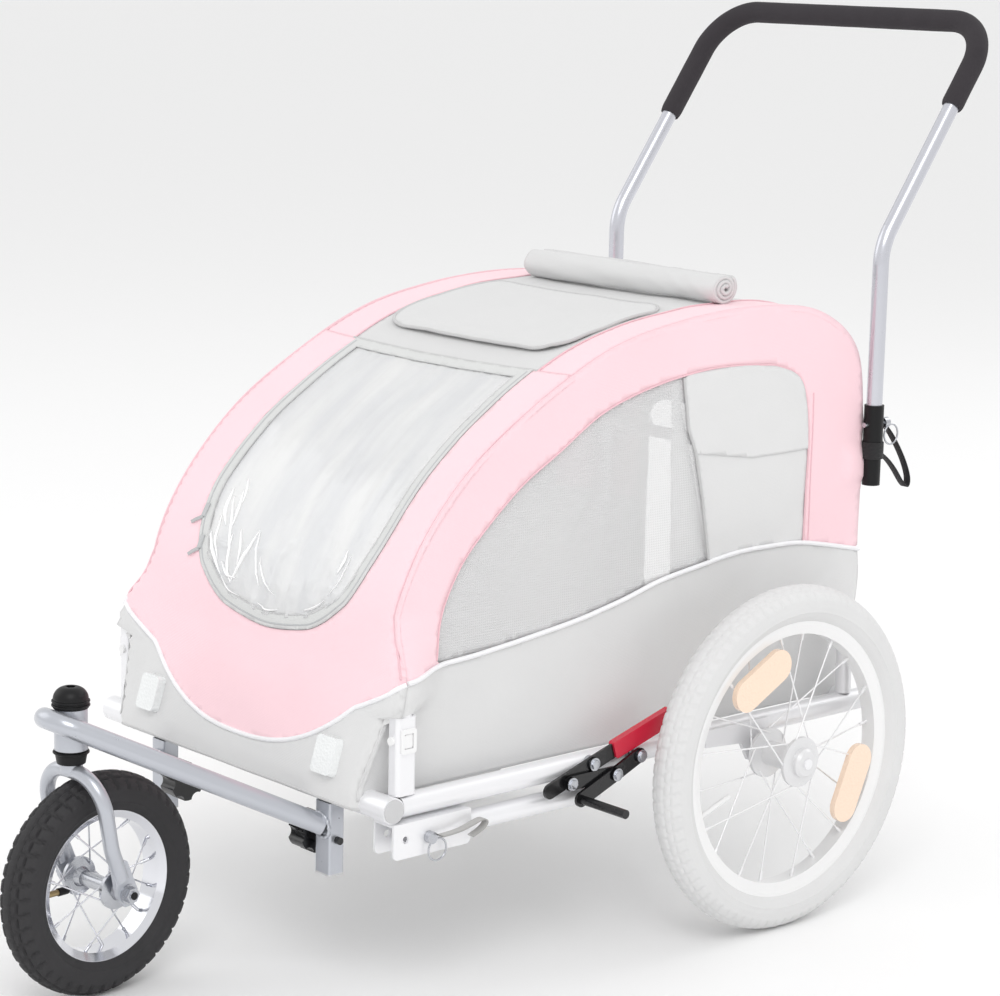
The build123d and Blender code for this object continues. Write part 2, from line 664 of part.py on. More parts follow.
FRONT_SEAT = 88.0
write(turned(make_tyre(front_plane, front_spin, FRONT_RADIUS, 23.0, FRONT_SEAT, 14.8)), "front_tyre")
front_rim = make_rim(front_plane, front_spin, FRONT_SEAT, 17.0, 73.0)
front_valve = rod((0, front_y - 72, front_z + 1), (0, front_y - 40, front_z + 1), 3.0)
with BuildPart() as front_rim_and_valve:
    add(front_rim)
    add(front_valve)
write(turned(front_rim_and_valve.part), "front_rim")
write(turned(make_spokes((0, *FRONT_AXLE), 16, 17.0, 30.0, 74.0, 58)), "front_spokes")
front_bore = FRONT_AXLE_R + CLEAR
front_hub_outline = [
    (-43, front_bore), (-43, 9), (-36, 11), (-33, 21), (-29, 21), (-27, 11), (-20, 8.5), (20, 8.5),
    (27, 11), (29, 21), (33, 21), (36, 11), (43, 9), (43, front_bore),
]  # fmt: skip
write(turned(revolved(front_plane, front_hub_outline, front_spin)), "front_hub")

# ---------------------------------------------------------------- push handle
HANDLE_X, HANDLE_R = 223.5, 9.5
HANDLE_Y, HANDLE_FOOT, SLEEVE_TOP = 435.0, 486.0, 576.0
ELBOW_Z, BAR_Y, BAR_Z = 765.0, 619.0, 1022.0
PIN_R, PIN_Z = 3.0, 553.0
handle_points = [
    (HANDLE_X, HANDLE_Y, HANDLE_FOOT), (HANDLE_X, HANDLE_Y, ELBOW_Z), (HANDLE_X, BAR_Y, BAR_Z),
    (-HANDLE_X, BAR_Y, BAR_Z), (-HANDLE_X, HANDLE_Y, ELBOW_Z), (-HANDLE_X, HANDLE_Y, HANDLE_FOOT),
]  # fmt: skip
HANDLE_BENDS = [70, 62, 62, 70]


def pin_holes():
    with BuildPart() as holes:
        for side in SIDES.values():
            with BuildSketch(Plane(origin=(side * HANDLE_X, HANDLE_Y - 30, PIN_Z), z_dir=(0, 1, 0))):
                Circle(PIN_R + CLEAR)
            extrude(amount=60)
    return holes.part


with BuildPart() as handle_tube:
    add(bent_tube(handle_points, HANDLE_BENDS, HANDLE_R))
    add(pin_holes(), mode=Mode.SUBTRACT)
write(handle_tube.part, "handle_tube")

# Foam over the bar, its two corners and part of each slope.
FOAM_LEFT, FOAM_RIGHT = 121.0, 163.0  # how far the foam runs down each slope from the corner
lean = atan2(BAR_Z - ELBOW_Z, BAR_Y - HANDLE_Y)
grip_points = [
    (HANDLE_X, BAR_Y - FOAM_LEFT * cos(lean), BAR_Z - FOAM_LEFT * sin(lean)), (HANDLE_X, BAR_Y, BAR_Z),
    (-HANDLE_X, BAR_Y, BAR_Z), (-HANDLE_X, BAR_Y - FOAM_RIGHT * cos(lean), BAR_Z - FOAM_RIGHT * sin(lean)),
]  # fmt: skip
FOAM_R = 13.5
write(bent_tube(grip_points, [62, 62], FOAM_R, FOAM_R - HANDLE_R - 0.05), "handle_grip")

# Sleeves: wider at the mouth, each held to the hoop inside the cabin by a short arm.
with BuildPart() as handle_sleeves:
    for side in SIDES.values():
        with BuildSketch(Plane.XY.offset(HANDLE_FOOT - 6)):
            with Locations((side * HANDLE_X, HANDLE_Y)):
                Circle(HANDLE_R + 1.2)
        extrude(amount=SLEEVE_TOP - HANDLE_FOOT - 44)
        with BuildSketch(Plane.XY.offset(SLEEVE_TOP - 50)):
            with Locations((side * HANDLE_X, HANDLE_Y)):
                Circle(HANDLE_R + 2.3)
        extrude(amount=50)
        with BuildSketch(Plane.XY.offset(498)):
            with Locations((side * (HOOP_X + 9.5), 420.5)):
                Rectangle(13, 24)
        extrude(amount=14)
    for side in SIDES.values():
        with BuildSketch(Plane.XY.offset(HANDLE_FOOT)):
            with Locations((side * HANDLE_X, HANDLE_Y)):
                Circle(HANDLE_R + CLEAR)
        extrude(amount=100, mode=Mode.SUBTRACT)
    add(pin_holes(), mode=Mode.SUBTRACT)
write(handle_sleeves.part, "handle_sleeves")


def wire_ring(centre, radius):
    """A ring of wire that stands across X."""
    x, y, z = centre
    with BuildPart() as ring:
        with BuildSketch(Plane(origin=(x, y, z + radius), z_dir=(0, 1, 0))):
            Circle(1.1)
        revolve(axis=Axis(centre, (1, 0, 0)))
    return ring.part


# Quick pins: a headed shank and the wire ring it is pulled by.
PIN_FRONT, PIN_BACK = HANDLE_Y - 17.0, HANDLE_Y + 16.0
RING_OUT = 5.4
for name, side in SIDES.items():
    x = side * HANDLE_X
    with BuildPart() as handle_pin:
        with BuildSketch(Plane(origin=(x, PIN_FRONT, PIN_Z), z_dir=(0, 1, 0))):
            Circle(PIN_R)
        extrude(amount=PIN_BACK - PIN_FRONT)
        with BuildSketch(Plane(origin=(x, PIN_BACK, PIN_Z), z_dir=(0, 1, 0))):
            Circle(6.5)
        extrude(amount=8)
        add(wire_ring((x + side * RING_OUT, PIN_BACK + 10, PIN_Z - 14), 12))
    write(handle_pin.part, f"{name}_handle_pin")

# ---------------------------------------------------------------- tow bracket and stowed tow arm
CHANNEL_FRONT, CHANNEL_REAR, CHANNEL_LOW = -325.0, -220.0, 174.0
CHANNEL_HALF, PLATE = 16.5, 3.0
CHANNEL_TOP = RAIL_Z - CROSS_R - 0.1
TOW_HOLE = (-309.0, 194.0)
TOW_PIN = (-278.0, 192.0)
TOW_HOLE_R = 4.0
with BuildPart() as tow_channel:
    with BuildSketch(Plane(origin=(RAIL_X, CHANNEL_FRONT, 0), x_dir=(1, 0, 0), z_dir=(0, -1, 0))):
        with Locations((0, (CHANNEL_TOP + CHANNEL_LOW) / 2)):
            Rectangle(2 * CHANNEL_HALF, CHANNEL_TOP - CHANNEL_LOW)
        with Locations((0, (CHANNEL_TOP + CHANNEL_LOW) / 2 - PLATE)):
            Rectangle(2 * (CHANNEL_HALF - PLATE), CHANNEL_TOP - CHANNEL_LOW, mode=Mode.SUBTRACT)
    extrude(amount=-(CHANNEL_REAR - CHANNEL_FRONT))
    fillet(tow_channel.edges().filter_by(Axis.X).group_by(Axis.Z)[0], 6)
    with BuildSketch(plane_yz(RAIL_X - CHANNEL_HALF - 1)):
        with Locations(TOW_HOLE):
            Circle(TOW_HOLE_R)
        with Locations(TOW_PIN):
            Circle(PIN_R + CLEAR)
    extrude(amount=2 * CHANNEL_HALF + 2, mode=Mode.SUBTRACT)
write(tow_channel.part, "tow_channel")

TOW_R, TOW_START, TOW_END = 11.5, -293.0, -29.0
with BuildPart() as tow_arm:
    with BuildSketch(Plane(origin=(RAIL_X, TOW_START, TOW_PIN[1]), z_dir=(0, 1, 0))):
        Circle(TOW_R)
        Circle(TOW_R - 2, mode=Mode.SUBTRACT)
    extrude(amount=TOW_END - TOW_START)
    with BuildSketch(Plane(origin=(RAIL_X, TOW_END, TOW_PIN[1]), z_dir=(0, 1, 0))):
        Circle(TOW_R)
    extrude(amount=5)
    fillet(tow_arm.edges().group_by(Axis.Y)[-1], 3)
    with BuildSketch(plane_yz(RAIL_X - TOW_R - 1)):
        with Locations(TOW_PIN):
            Circle(PIN_R + CLEAR)
    extrude(amount=2 * TOW_R + 2, mode=Mode.SUBTRACT)
write(tow_arm.part, "tow_arm")

PIN_HEAD_X = RAIL_X + CHANNEL_HALF + 0.4
with BuildPart() as tow_pin:
    with BuildSketch(plane_yz(RAIL_X - CHANNEL_HALF - 4)):
        with Locations(TOW_PIN):
            Circle(PIN_R)
    extrude(amount=2 * CHANNEL_HALF + 8)
    with BuildSketch(plane_yz(PIN_HEAD_X)):
        with Locations(TOW_PIN):
            Circle(6.5)
    extrude(amount=7)
    add(wire_ring((PIN_HEAD_X + 4.5, TOW_PIN[0] + 8, TOW_PIN[1] - 14), 12))
write(tow_pin.part, "tow_pin")

# ---------------------------------------------------------------- parking brakes
# A lever and a shoe arm of equal crank, pivoted on the rail and tied by a link, carry a rod that is
# drawn back against the front of the tyre. All of it lies between the rail and the tyre.
LEVER_PIVOT = (-48.0, 230.0)
ARM_PIVOT = (16.0, 230.0)
CRANK = (-36.0, -15.0)
LEVER_END = (LEVER_PIVOT[0] + CRANK[0], LEVER_PIVOT[1] + CRANK[1])
ARM_JOINT = (ARM_PIVOT[0] + CRANK[0], ARM_PIVOT[1] + CRANK[1])
LEVER_TIP = (-110.0, 210.0)
ROD_BASE = (-70.0, 195.5)
GRIP_START, GRIP_END = (-27.0, 236.5), (66.0, 264.0)
MOUNT_OUT, LEVER_IN, LINK_IN, SHOE_IN, STRIP = 260.0, 260.3, 264.0, 267.7, 3.4
ROD_R, ROD_END_X = 5.0, 339.0
PIVOT_R = 4.0


def strip(x, points, width, holes=()):
    """A flat bar through points, round at its ends, 3.4 mm thick, with pivot holes."""
    with BuildPart() as bar:
        with BuildSketch(plane_yz(x)):
            for a, b in zip(points, points[1:]):
                length = hypot(b[0] - a[0], b[1] - a[1])
                middle = ((a[0] + b[0]) / 2, (a[1] + b[1]) / 2)
                with Locations(Location((*middle, 0), (0, 0, 1), degrees(atan2(b[1] - a[1], b[0] - a[0])))):
                    SlotCenterToCenter(length, width)
            for hole in holes:
                with Locations(hole):
                    Circle(PIVOT_R + CLEAR, mode=Mode.SUBTRACT)
        extrude(amount=STRIP)
    return bar.part


def pivot(x, point, length, radius=PIVOT_R):
    return rod((x, *point), (x + length, *point), radius)


BOLT_HEAD_R, BOLT_HEAD = 6.0, 2.4
bolt_end = SHOE_IN + STRIP + 0.2
with BuildPart() as left_brake_mount:
    for point, end in [(LEVER_PIVOT, LINK_IN - 0.2), (ARM_PIVOT, bolt_end)]:
        add(pivot(RAIL_X + RAIL_R + 0.1, point, MOUNT_OUT - RAIL_X - RAIL_R - 0.1, 8.5))
        add(pivot(MOUNT_OUT - 1, point, end - MOUNT_OUT + 1.5))
        add(pivot(end, point, BOLT_HEAD, BOLT_HEAD_R))
with BuildPart() as brake_mounts:
    add(left_brake_mount.part)
    add(mirrored(left_brake_mount.part))
write(brake_mounts.part, "brake_mounts")

with BuildPart() as left_brake_lever:
    add(strip(LEVER_IN, [LEVER_TIP, LEVER_PIVOT, GRIP_START, GRIP_END], 17, [LEVER_PIVOT]))
    add(pivot(LEVER_IN + STRIP - 0.5, LEVER_END, STRIP + 2))
    add(pivot(LINK_IN + STRIP + 0.2, LEVER_END, BOLT_HEAD, BOLT_HEAD_R))
with BuildPart() as left_brake_grip:
    run = degrees(atan2(GRIP_END[1] - GRIP_START[1], GRIP_END[0] - GRIP_START[0]))
    middle = ((GRIP_START[0] + GRIP_END[0]) / 2 + 6.6, (GRIP_START[1] + GRIP_END[1]) / 2 + 2.6)
    with BuildSketch(plane_yz(LEVER_IN - 2.4)):
        with Locations(Location((*middle, 0), (0, 0, 1), run)):
            RectangleRounded(92, 20, 3)
    extrude(amount=STRIP + 5.2)
    add(left_brake_lever.part, mode=Mode.SUBTRACT)
with BuildPart() as left_brake_link:
    add(strip(LINK_IN, [LEVER_END, ARM_JOINT], 16, [LEVER_END]))
    # The hole at the arm's bolt is wider: the linkage is closed here.
    with BuildSketch(plane_yz(LINK_IN)):
        with Locations(ARM_JOINT):
            Circle(PIVOT_R + 0.35)
    extrude(amount=STRIP, mode=Mode.SUBTRACT)
with BuildPart() as left_brake_arm:
    add(strip(SHOE_IN, [ARM_PIVOT, ARM_JOINT, ROD_BASE], 17, [ARM_PIVOT]))
    add(rod((SHOE_IN + 1, *ROD_BASE), (ROD_END_X, *ROD_BASE), ROD_R))
    add(pivot(LINK_IN - 0.2, ARM_JOINT, SHOE_IN - LINK_IN + 1))
    add(pivot(SHOE_IN + STRIP, ARM_JOINT, BOLT_HEAD, BOLT_HEAD_R))

brake_pieces = {
    "brake_lever": left_brake_lever.part,
    "brake_grip": left_brake_grip.part,
    "brake_link": left_brake_link.part,
    "brake_arm": left_brake_arm.part,
}
for piece_name, piece in brake_pieces.items():
    write(mirrored(piece), f"right_{piece_name}")
    write(piece, f"left_{piece_name}")

# ---------------------------------------------------------------- tethers of the three pins
# Flat webbing in upright planes: each leaves the frame, folds back in a loop and ends on its pin.
WEB, WEB_THICK = 10.0, 1.6
handle_tether_route = [
    (447.0, 519), (462, 510), (479, 494), (493, 476), (503, 468), (506, 480),
    (496, 502), (481, 524), (467, 541), (460, 547),
]  # fmt: skip
tow_tether_route = [
    (-271.0, 194), (-251, 194), (-231, 198), (-214, 203), (-207, 198), (-216, 190), (-229, 186),
]  # fmt: skip


def tether(x, route):
    lengths = [hypot(b[0] - a[0], b[1] - a[1]) for a, b in zip(route, route[1:])]
    radii = []
    for i in range(1, len(route) - 1):
        before = atan2(route[i][1] - route[i - 1][1], route[i][0] - route[i - 1][0])
        after = atan2(route[i + 1][1] - route[i][1], route[i + 1][0] - route[i][0])
        turn = abs(Vector(cos(before), sin(before)).get_angle(Vector(cos(after), sin(after))))
        radii.append(0.45 * min(lengths[i - 1], lengths[i]) / tan(radians(turn) / 2))
    with BuildPart() as strap:
        with BuildLine() as path:
            FilletPolyline(*[(x, y, z) for y, z in route], radius=radii)
        line = path.line
        with BuildSketch(Plane(origin=line @ 0, x_dir=(1, 0, 0), z_dir=line % 0)):
            Rectangle(WEB, WEB_THICK)
        sweep(path=line)
    length = sum(edge.length for edge in line.edges())
    print(f"tether: length {length:.1f}, radii", [round(r, 1) for r in radii])
    print(f"  volume {strap.part.volume:.1f}, section times length {WEB * WEB_THICK * length:.1f}")
    return strap.part


TETHER_IN = 3.0  # the strap lies this much inside the pin's middle, clear of its ring
for name, side in SIDES.items():
    write(tether(side * (HANDLE_X - TETHER_IN), handle_tether_route), f"{name}_handle_tether")
write(tether(PIN_HEAD_X + 10, tow_tether_route), "tow_pin_tether")
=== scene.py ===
"""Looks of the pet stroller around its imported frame: sewn cabin fabric, film and mesh windows, treaded tyres,
foam grip, tethers, and a material for every CAD node. Shapes are in millimetres until a mesh is made."""

from math import ceil, cos, hypot, pi, radians, sin, sqrt

import bpy
import numpy as np
from mathutils import Matrix, Vector, geometry, noise


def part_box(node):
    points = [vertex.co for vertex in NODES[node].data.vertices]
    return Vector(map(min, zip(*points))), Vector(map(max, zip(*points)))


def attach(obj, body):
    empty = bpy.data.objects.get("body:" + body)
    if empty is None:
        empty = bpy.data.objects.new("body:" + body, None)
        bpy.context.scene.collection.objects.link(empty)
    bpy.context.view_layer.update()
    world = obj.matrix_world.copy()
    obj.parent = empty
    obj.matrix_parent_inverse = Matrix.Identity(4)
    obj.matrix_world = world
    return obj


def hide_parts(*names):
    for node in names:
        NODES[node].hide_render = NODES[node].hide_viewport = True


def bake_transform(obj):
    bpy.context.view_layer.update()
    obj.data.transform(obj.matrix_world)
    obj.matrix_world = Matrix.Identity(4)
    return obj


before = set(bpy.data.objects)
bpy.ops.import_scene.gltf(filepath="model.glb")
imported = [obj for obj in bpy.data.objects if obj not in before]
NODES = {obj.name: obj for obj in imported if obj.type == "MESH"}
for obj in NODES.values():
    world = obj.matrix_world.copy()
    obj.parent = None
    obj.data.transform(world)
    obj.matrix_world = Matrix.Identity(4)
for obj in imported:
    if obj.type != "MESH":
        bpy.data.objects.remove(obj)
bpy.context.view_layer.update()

MM = 0.001
SIDES = {"left": 1, "right": -1}  # the stroller's own left is +X

# -------- camera
CAMERA_AT = (2.43229, -2.13319, 1.10692)
CAMERA_TURN, CAMERA_DOWN, CAMERA_ROLL = radians(48.175), radians(11.006), radians(1.244)
LENS_MM, SENSOR_MM = 103.298, 36.0


def make_camera():
    turn, down = CAMERA_TURN, CAMERA_DOWN
    back = Vector((sin(turn) * cos(down), -cos(turn) * cos(down), sin(down)))
    level = (-back).cross(Vector((0, 0, 1))).normalized()
    upright = level.cross(-back)
    right = cos(CAMERA_ROLL) * level + sin(CAMERA_ROLL) * upright
    up = cos(CAMERA_ROLL) * upright - sin(CAMERA_ROLL) * level
    data = bpy.data.cameras.new("camera")
    data.lens, data.sensor_width = LENS_MM, SENSOR_MM
    camera = bpy.data.objects.new("camera", data)
    bpy.context.scene.collection.objects.link(camera)
    axes = Matrix((right, up, back)).transposed().to_4x4()
    camera.matrix_world = Matrix.Translation(CAMERA_AT) @ axes
    bpy.context.scene.camera = camera


make_camera()


# -------- materials
def rgb(code):
    """A linear colour from an sRGB hex code."""
    parts = [int(code[i : i + 2], 16) / 255 for i in (0, 2, 4)]
    return [p / 12.92 if p <= 0.04045 else ((p + 0.055) / 1.055) ** 2.4 for p in parts]


class Nodes:
    """A short way to add and link the nodes of one material."""

    def __init__(self, name):
        self.material = bpy.data.materials.new(name)
        self.material.use_nodes = True
        self.tree = self.material.node_tree
        self.shader = self.tree.nodes["Principled BSDF"]
        self.coords = self.tree.nodes.new("ShaderNodeTexCoord")

    def add(self, kind, inputs=(), **settings):
        node = self.tree.nodes.new(kind)
        for key, value in settings.items():
            setattr(node, key, value)
        for key, value in dict(inputs).items():
            self.put(value, node.inputs[key])
        return node

    def put(self, value, socket):
        if isinstance(value, bpy.types.NodeSocket):
            self.tree.links.new(value, socket)
        else:
            socket.default_value = value

    def noise(self, vector, scale, detail=3.0, rough=0.55):
        inputs = {"Vector": vector, "Scale": scale, "Detail": detail, "Roughness": rough}
        return self.add("ShaderNodeTexNoise", inputs).outputs["Fac"]

    def waves(self, vector, pitch, direction, profile="SIN"):
        """Bands a pitch apart, in metres."""
        inputs = {"Vector": vector, "Scale": pi / 10 / pitch}
        node = self.add("ShaderNodeTexWave", inputs, bands_direction=direction, wave_profile=profile)
        return node.outputs["Fac"]

    def math(self, operation, a, b):
        return self.add("ShaderNodeMath", {0: a, 1: b}, operation=operation).outputs[0]

    def ranged(self, value, low, high):
        inputs = {"Value": value, "To Min": low, "To Max": high}
        return self.add("ShaderNodeMapRange", inputs).outputs["Result"]

    def mixed(self, share, first, second):
        node = self.add("ShaderNodeMix", data_type="RGBA")
        self.put(share, node.inputs[0])
        self.put((*first, 1.0), node.inputs[6])
        self.put((*second, 1.0), node.inputs[7])
        return node.outputs[2]


def surface(name, code, rough, vary, pitch, height, bump="grain", blotch=9.0, **sockets):
    """A finished surface: mottled colour, uneven roughness and a fine relief of the named kind, its pitch in
    metres and its height in millimetres. A striped net also takes its colour from the relief."""
    n = Nodes(name)
    place, flat = n.coords.outputs["Object"], n.coords.outputs["UV"]
    colour = rgb(code)
    mottle = n.ranged(n.noise(place, blotch, 4.0), 0.0, 1.0)
    dark, light = [c * (1 - vary) for c in colour], [min(1, c * (1 + vary)) for c in colour]
    n.put(n.mixed(mottle, dark, light), n.shader.inputs["Base Color"])
    n.put(n.ranged(n.noise(place, blotch * 7, 5.0), rough - 0.06, rough + 0.06), n.shader.inputs["Roughness"])
    if bump == "weave":
        warp, weft = n.waves(flat, pitch, "X"), n.waves(flat, pitch, "Y")
        relief = n.math("MAXIMUM", warp, weft)
    elif bump == "net":
        relief = n.math("MULTIPLY", n.waves(flat, pitch, "X"), n.waves(flat, pitch, "Y"))
    elif bump in ("ribs", "stripes"):
        relief = n.waves(flat, pitch, "Y")
    elif bump == "cells":
        inputs = {"Vector": place, "Scale": 1 / pitch}
        relief = n.add("ShaderNodeTexVoronoi", inputs).outputs["Distance"]
    else:
        relief = n.noise(place, 1 / pitch, 4.0, 0.6)
    if bump == "stripes":
        n.put(n.mixed(relief, [c * 0.8 for c in colour], colour), n.shader.inputs["Base Color"])
    inputs = {"Height": relief, "Strength": 1.0, "Distance": height * MM}
    n.put(n.add("ShaderNodeBump", inputs).outputs["Normal"], n.shader.inputs["Normal"])
    for key, value in sockets.items():
        n.shader.inputs[key.replace("_", " ")].default_value = value
    return n.material


def fabric(name, code, rough=0.8, vary=0.03, pitch=0.0016, height=0.12, sheen=0.25):
    return surface(name, code, rough, vary, pitch, height, "weave", Sheen_Weight=sheen)


PINK = fabric("pink_cloth", "FFD9E0")
PINK_SEAM = fabric("pink_seam", "F6CBD3")
GREY = fabric("grey_cloth", "D9D9D9")
GREY_LOW = fabric("grey_lower_cloth", "DCDCDC", vary=0.04)
GREY_PANEL = fabric("pocket_cloth", "E0E0E0", vary=0.03)
GREY_TAPE = fabric("zipper_tape", "D6D7D6", pitch=0.0022, height=0.2)
GREY_SEAM = fabric("grey_seam", "CFCFCF")
PIPING = fabric("white_piping", "FCFCFE", rough=0.55, vary=0.01, sheen=0.1)
NET = surface("side_net", "FEFEFF", 0.75, 0.03, 0.0028, 0.5, "net", Alpha=0.5)
FRONT_NET = surface("front_net", "FFFFFF", 0.7, 0.02, 0.0046, 1.0, "stripes", Alpha=0.96)
REAR_NET = surface("rear_net", "FFFFFF", 0.7, 0.02, 0.0028, 0.5, "net", Alpha=0.15)


def film(name):
    """Clear vinyl: glossy, with whitish streaks that run down the window, painted into its colour as
    reflections; the same streaks set its roughness and relief.
    """
    n = Nodes(name)
    inputs = {"Vector": n.coords.outputs["UV"], "Scale": (26.0, 5.0, 1.0)}
    run = n.add("ShaderNodeMapping", inputs).outputs["Vector"]
    inputs = {"Value": n.noise(run, 1.0, 3.0, 0.5), "From Min": 0.4, "From Max": 0.62}
    streak = n.add("ShaderNodeMapRange", inputs).outputs["Result"]
    # Painted reflection: the film's colour is whiter along the streaks.
    n.put(n.mixed(streak, rgb("F4F5F7"), rgb("FFFFFF")), n.shader.inputs["Base Color"])
    n.put(n.ranged(streak, 0.06, 0.2), n.shader.inputs["Roughness"])
    inputs = {"Height": streak, "Strength": 1.0, "Distance": 0.4 * MM}
    n.put(n.add("ShaderNodeBump", inputs).outputs["Normal"], n.shader.inputs["Normal"])
    n.shader.inputs["Alpha"].default_value = 0.42
    n.shader.inputs["Coat Weight"].default_value = 1.0
    return n.material


FILM = film("clear_film")
GLINT = surface("film_glint", "FFFFFF", 0.12, 0.0, 0.004, 0.02, Coat_Weight=1.0)
ZIP = surface("zipper_coil", "C2C4C5", 0.5, 0.05, 0.0016, 0.3, "ribs")
FRAME = surface("frame_paint", "F1F1F3", 0.34, 0.015, 0.004, 0.02, Metallic=0.35)
FRAME_PLASTIC = surface("pale_plastic", "F0F0F0", 0.45, 0.02, 0.0015, 0.03)
DARK_PLASTIC = surface("black_plastic", "0F0F11", 0.42, 0.12, 0.0011, 0.05, Specular_IOR_Level=0.3)
PALE_CAP = surface("pale_cap", "C9C9CA", 0.5, 0.05, 0.0013, 0.04)
ARM_PAINT = surface("arm_paint", "BEC1C8", 0.3, 0.02, 0.02, 0.01, Metallic=0.6, Coat_Weight=0.5)
HANDLE_PAINT = surface("handle_paint", "D2D3DA", 0.26, 0.015, 0.03, 0.008, Metallic=0.85)
CHROME = surface("chrome", "E2E3E8", 0.12, 0.02, 0.03, 0.008, Metallic=1.0)
ZINC = surface("zinc", "BFC1C6", 0.26, 0.05, 0.01, 0.008, Metallic=1.0)
BRASS = surface("brass", "A8946E", 0.3, 0.08, 0.003, 0.02, Metallic=1.0)
PALE_RIM = surface("pale_rim", "F2F2F2", 0.35, 0.02, 0.004, 0.02, Metallic=0.3)
PALE_SPOKE = surface("pale_spoke", "F4F4F5", 0.3, 0.02, 0.003, 0.01, Metallic=0.5)
PALE_HUB = surface("pale_hub", "E4E4E5", 0.4, 0.04, 0.003, 0.03, Metallic=0.4)
PALE_TYRE = surface("pale_tyre", "DEDEDE", 0.85, 0.05, 0.0022, 0.12, blotch=16.0)
BLACK_TYRE = surface("black_tyre", "2C2B2D", 0.7, 0.2, 0.0016, 0.12, blotch=30.0)
AMBER = surface("amber_reflector", "FFE2CB", 0.22, 0.05, 0.0035, 0.5, "cells", Coat_Weight=0.6)
CLEAR = surface("clear_reflector", "EEF0F0", 0.18, 0.04, 0.003, 0.5, "cells", Coat_Weight=0.6)
FOAM = surface("grip_foam", "332F33", 0.9, 0.16, 0.0014, 0.22, "cells", blotch=40.0)
WEB_BLACK = fabric("black_webbing", "19191B", 0.7, 0.15, pitch=0.0014, height=0.3, sheen=0.08)
WEB_PALE = fabric("pale_webbing", "B9B8B6", 0.7, 0.08, pitch=0.0014, height=0.3, sheen=0.2)
BLACK_GLOSS = surface("black_gloss", "0E0E10", 0.26, 0.1, 0.004, 0.01, Coat_Weight=0.15)
RED_GRIP = surface("red_vinyl", "CC1236", 0.24, 0.04, 0.02, 0.02, Coat_Weight=0.4)
FLOOR_CLOTH = fabric("floor_cloth", "D2D2D2", pitch=0.002)
STAGE = surface("studio_floor", "FAFAFA", 0.9, 0.004, 0.4, 0.02)


# -------- lines and meshes
def smooth(points, step=6.0):
    """A smooth line through points, as points about a step apart."""
    p = np.array(points, float)
    q = np.vstack([2 * p[0] - p[1], p, 2 * p[-1] - p[-2]])
    found = []
    for i in range(1, len(q) - 2):
        a, b, c, d = q[i - 1 : i + 3]
        count = max(1, ceil(np.linalg.norm(c - b) / step))
        t = np.linspace(0, 1, count, endpoint=False)[:, None]
        bend = (2 * a - 5 * b + 4 * c - d) * t**2 + (3 * b - a - 3 * c + d) * t**3
        found.append(0.5 * (2 * b + (c - a) * t + bend))
    return np.vstack([*found, p[-1:]])


def straight(points, step=6.0):
    """Straight runs through points, divided to about a step."""
    p = np.array(points, float)
    found = []
    for a, b in zip(p, p[1:]):
        count = max(1, ceil(np.linalg.norm(b - a) / step))
        found.append(a + (b - a) * np.linspace(0, 1, count, endpoint=False)[:, None])
    return np.vstack([*found, p[-1:]])


def mesh_piece(name, body, slot, material, verts, faces, uvs=None, sharp=38.0):
    """A smooth-shaded mesh from points in millimetres, riding on a body."""
    mesh = bpy.data.meshes.new(name)
    places = [tuple(v) for v in np.asarray(verts, float) * MM]
    mesh.from_pydata(places, [], [tuple(int(i) for i in f) for f in faces])
    mesh.update()
    if uvs is not None:
        layer = mesh.uv_layers.new(name="cloth")
        corners = np.zeros(len(mesh.loops), np.int32)
        mesh.loops.foreach_get("vertex_index", corners)
        layer.data.foreach_set("uv", (np.asarray(uvs, float) * MM)[corners].astype(np.float32).ravel())
    mesh.shade_smooth()
    mesh.set_sharp_from_angle(angle=radians(sharp))
    mesh.materials.append(material)
    piece = bpy.data.objects.new(name, mesh)
    bpy.context.scene.collection.objects.link(piece)
    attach(piece, body)
    return piece


def closed_up(piece, thickness):
    """Gives a single skin its thickness, and applies it."""
    solid = piece.modifiers.new("thickness", "SOLIDIFY")
    solid.thickness, solid.offset = thickness * MM, -1.0
    mesh = bpy.data.meshes.new_from_object(piece.evaluated_get(bpy.context.evaluated_depsgraph_get()))
    piece.modifiers.clear()
    old, piece.data = piece.data, mesh
    bpy.data.meshes.remove(old)


def sweep(line, section, across=None, closed=False, scale=None):
    """Points, faces and flat coordinates of a section carried along a line."""
    line = np.asarray(line, float)
    count, around = len(line), len(section)
    if closed:
        ahead = np.roll(line, -1, 0) - np.roll(line, 1, 0)
    else:
        ahead = np.gradient(line, axis=0)
    ahead /= np.linalg.norm(ahead, axis=1)[:, None]
    side = np.cross(ahead[0], [0.31, 0.17, 0.94])
    points, flat, run = [], [], 0.0
    for i in range(count):
        if across is not None:
            side = np.array(across, float)
        side = side - ahead[i] * (side @ ahead[i])
        side /= np.linalg.norm(side)
        up = np.cross(ahead[i], side)
        size = 1.0 if scale is None else scale[i]
        if i:
            run += np.linalg.norm(line[i] - line[i - 1])
        for k, (a, b) in enumerate(section):
            points.append(line[i] + side * a * size + up * b * size)
            flat.append((6.0 * k, run))
    faces = []
    for i in range(count if closed else count - 1):
        j = (i + 1) % count
        for k in range(around):
            m = (k + 1) % around
            faces.append((i * around + k, i * around + m, j * around + m, j * around + k))
    if not closed:
        faces.append(tuple(reversed(range(around))))
        faces.append(tuple(range((count - 1) * around, count * around)))
    return points, faces, flat


def ring(radius, sides=10, squeeze=1.0):
    turns = [2 * pi * k / sides for k in range(sides)]
    return [(radius * cos(t), radius * squeeze * sin(t)) for t in turns]


def flat_section(width, thick):
    """A flat strap's section, with rounded edges."""
    w, t = width / 2, thick / 2
    c = t * 0.6
    half = [(-w + c, -t), (w - c, -t), (w, -t + c), (w, t - c)]
    return half + [(-a, -b) for a, b in half]


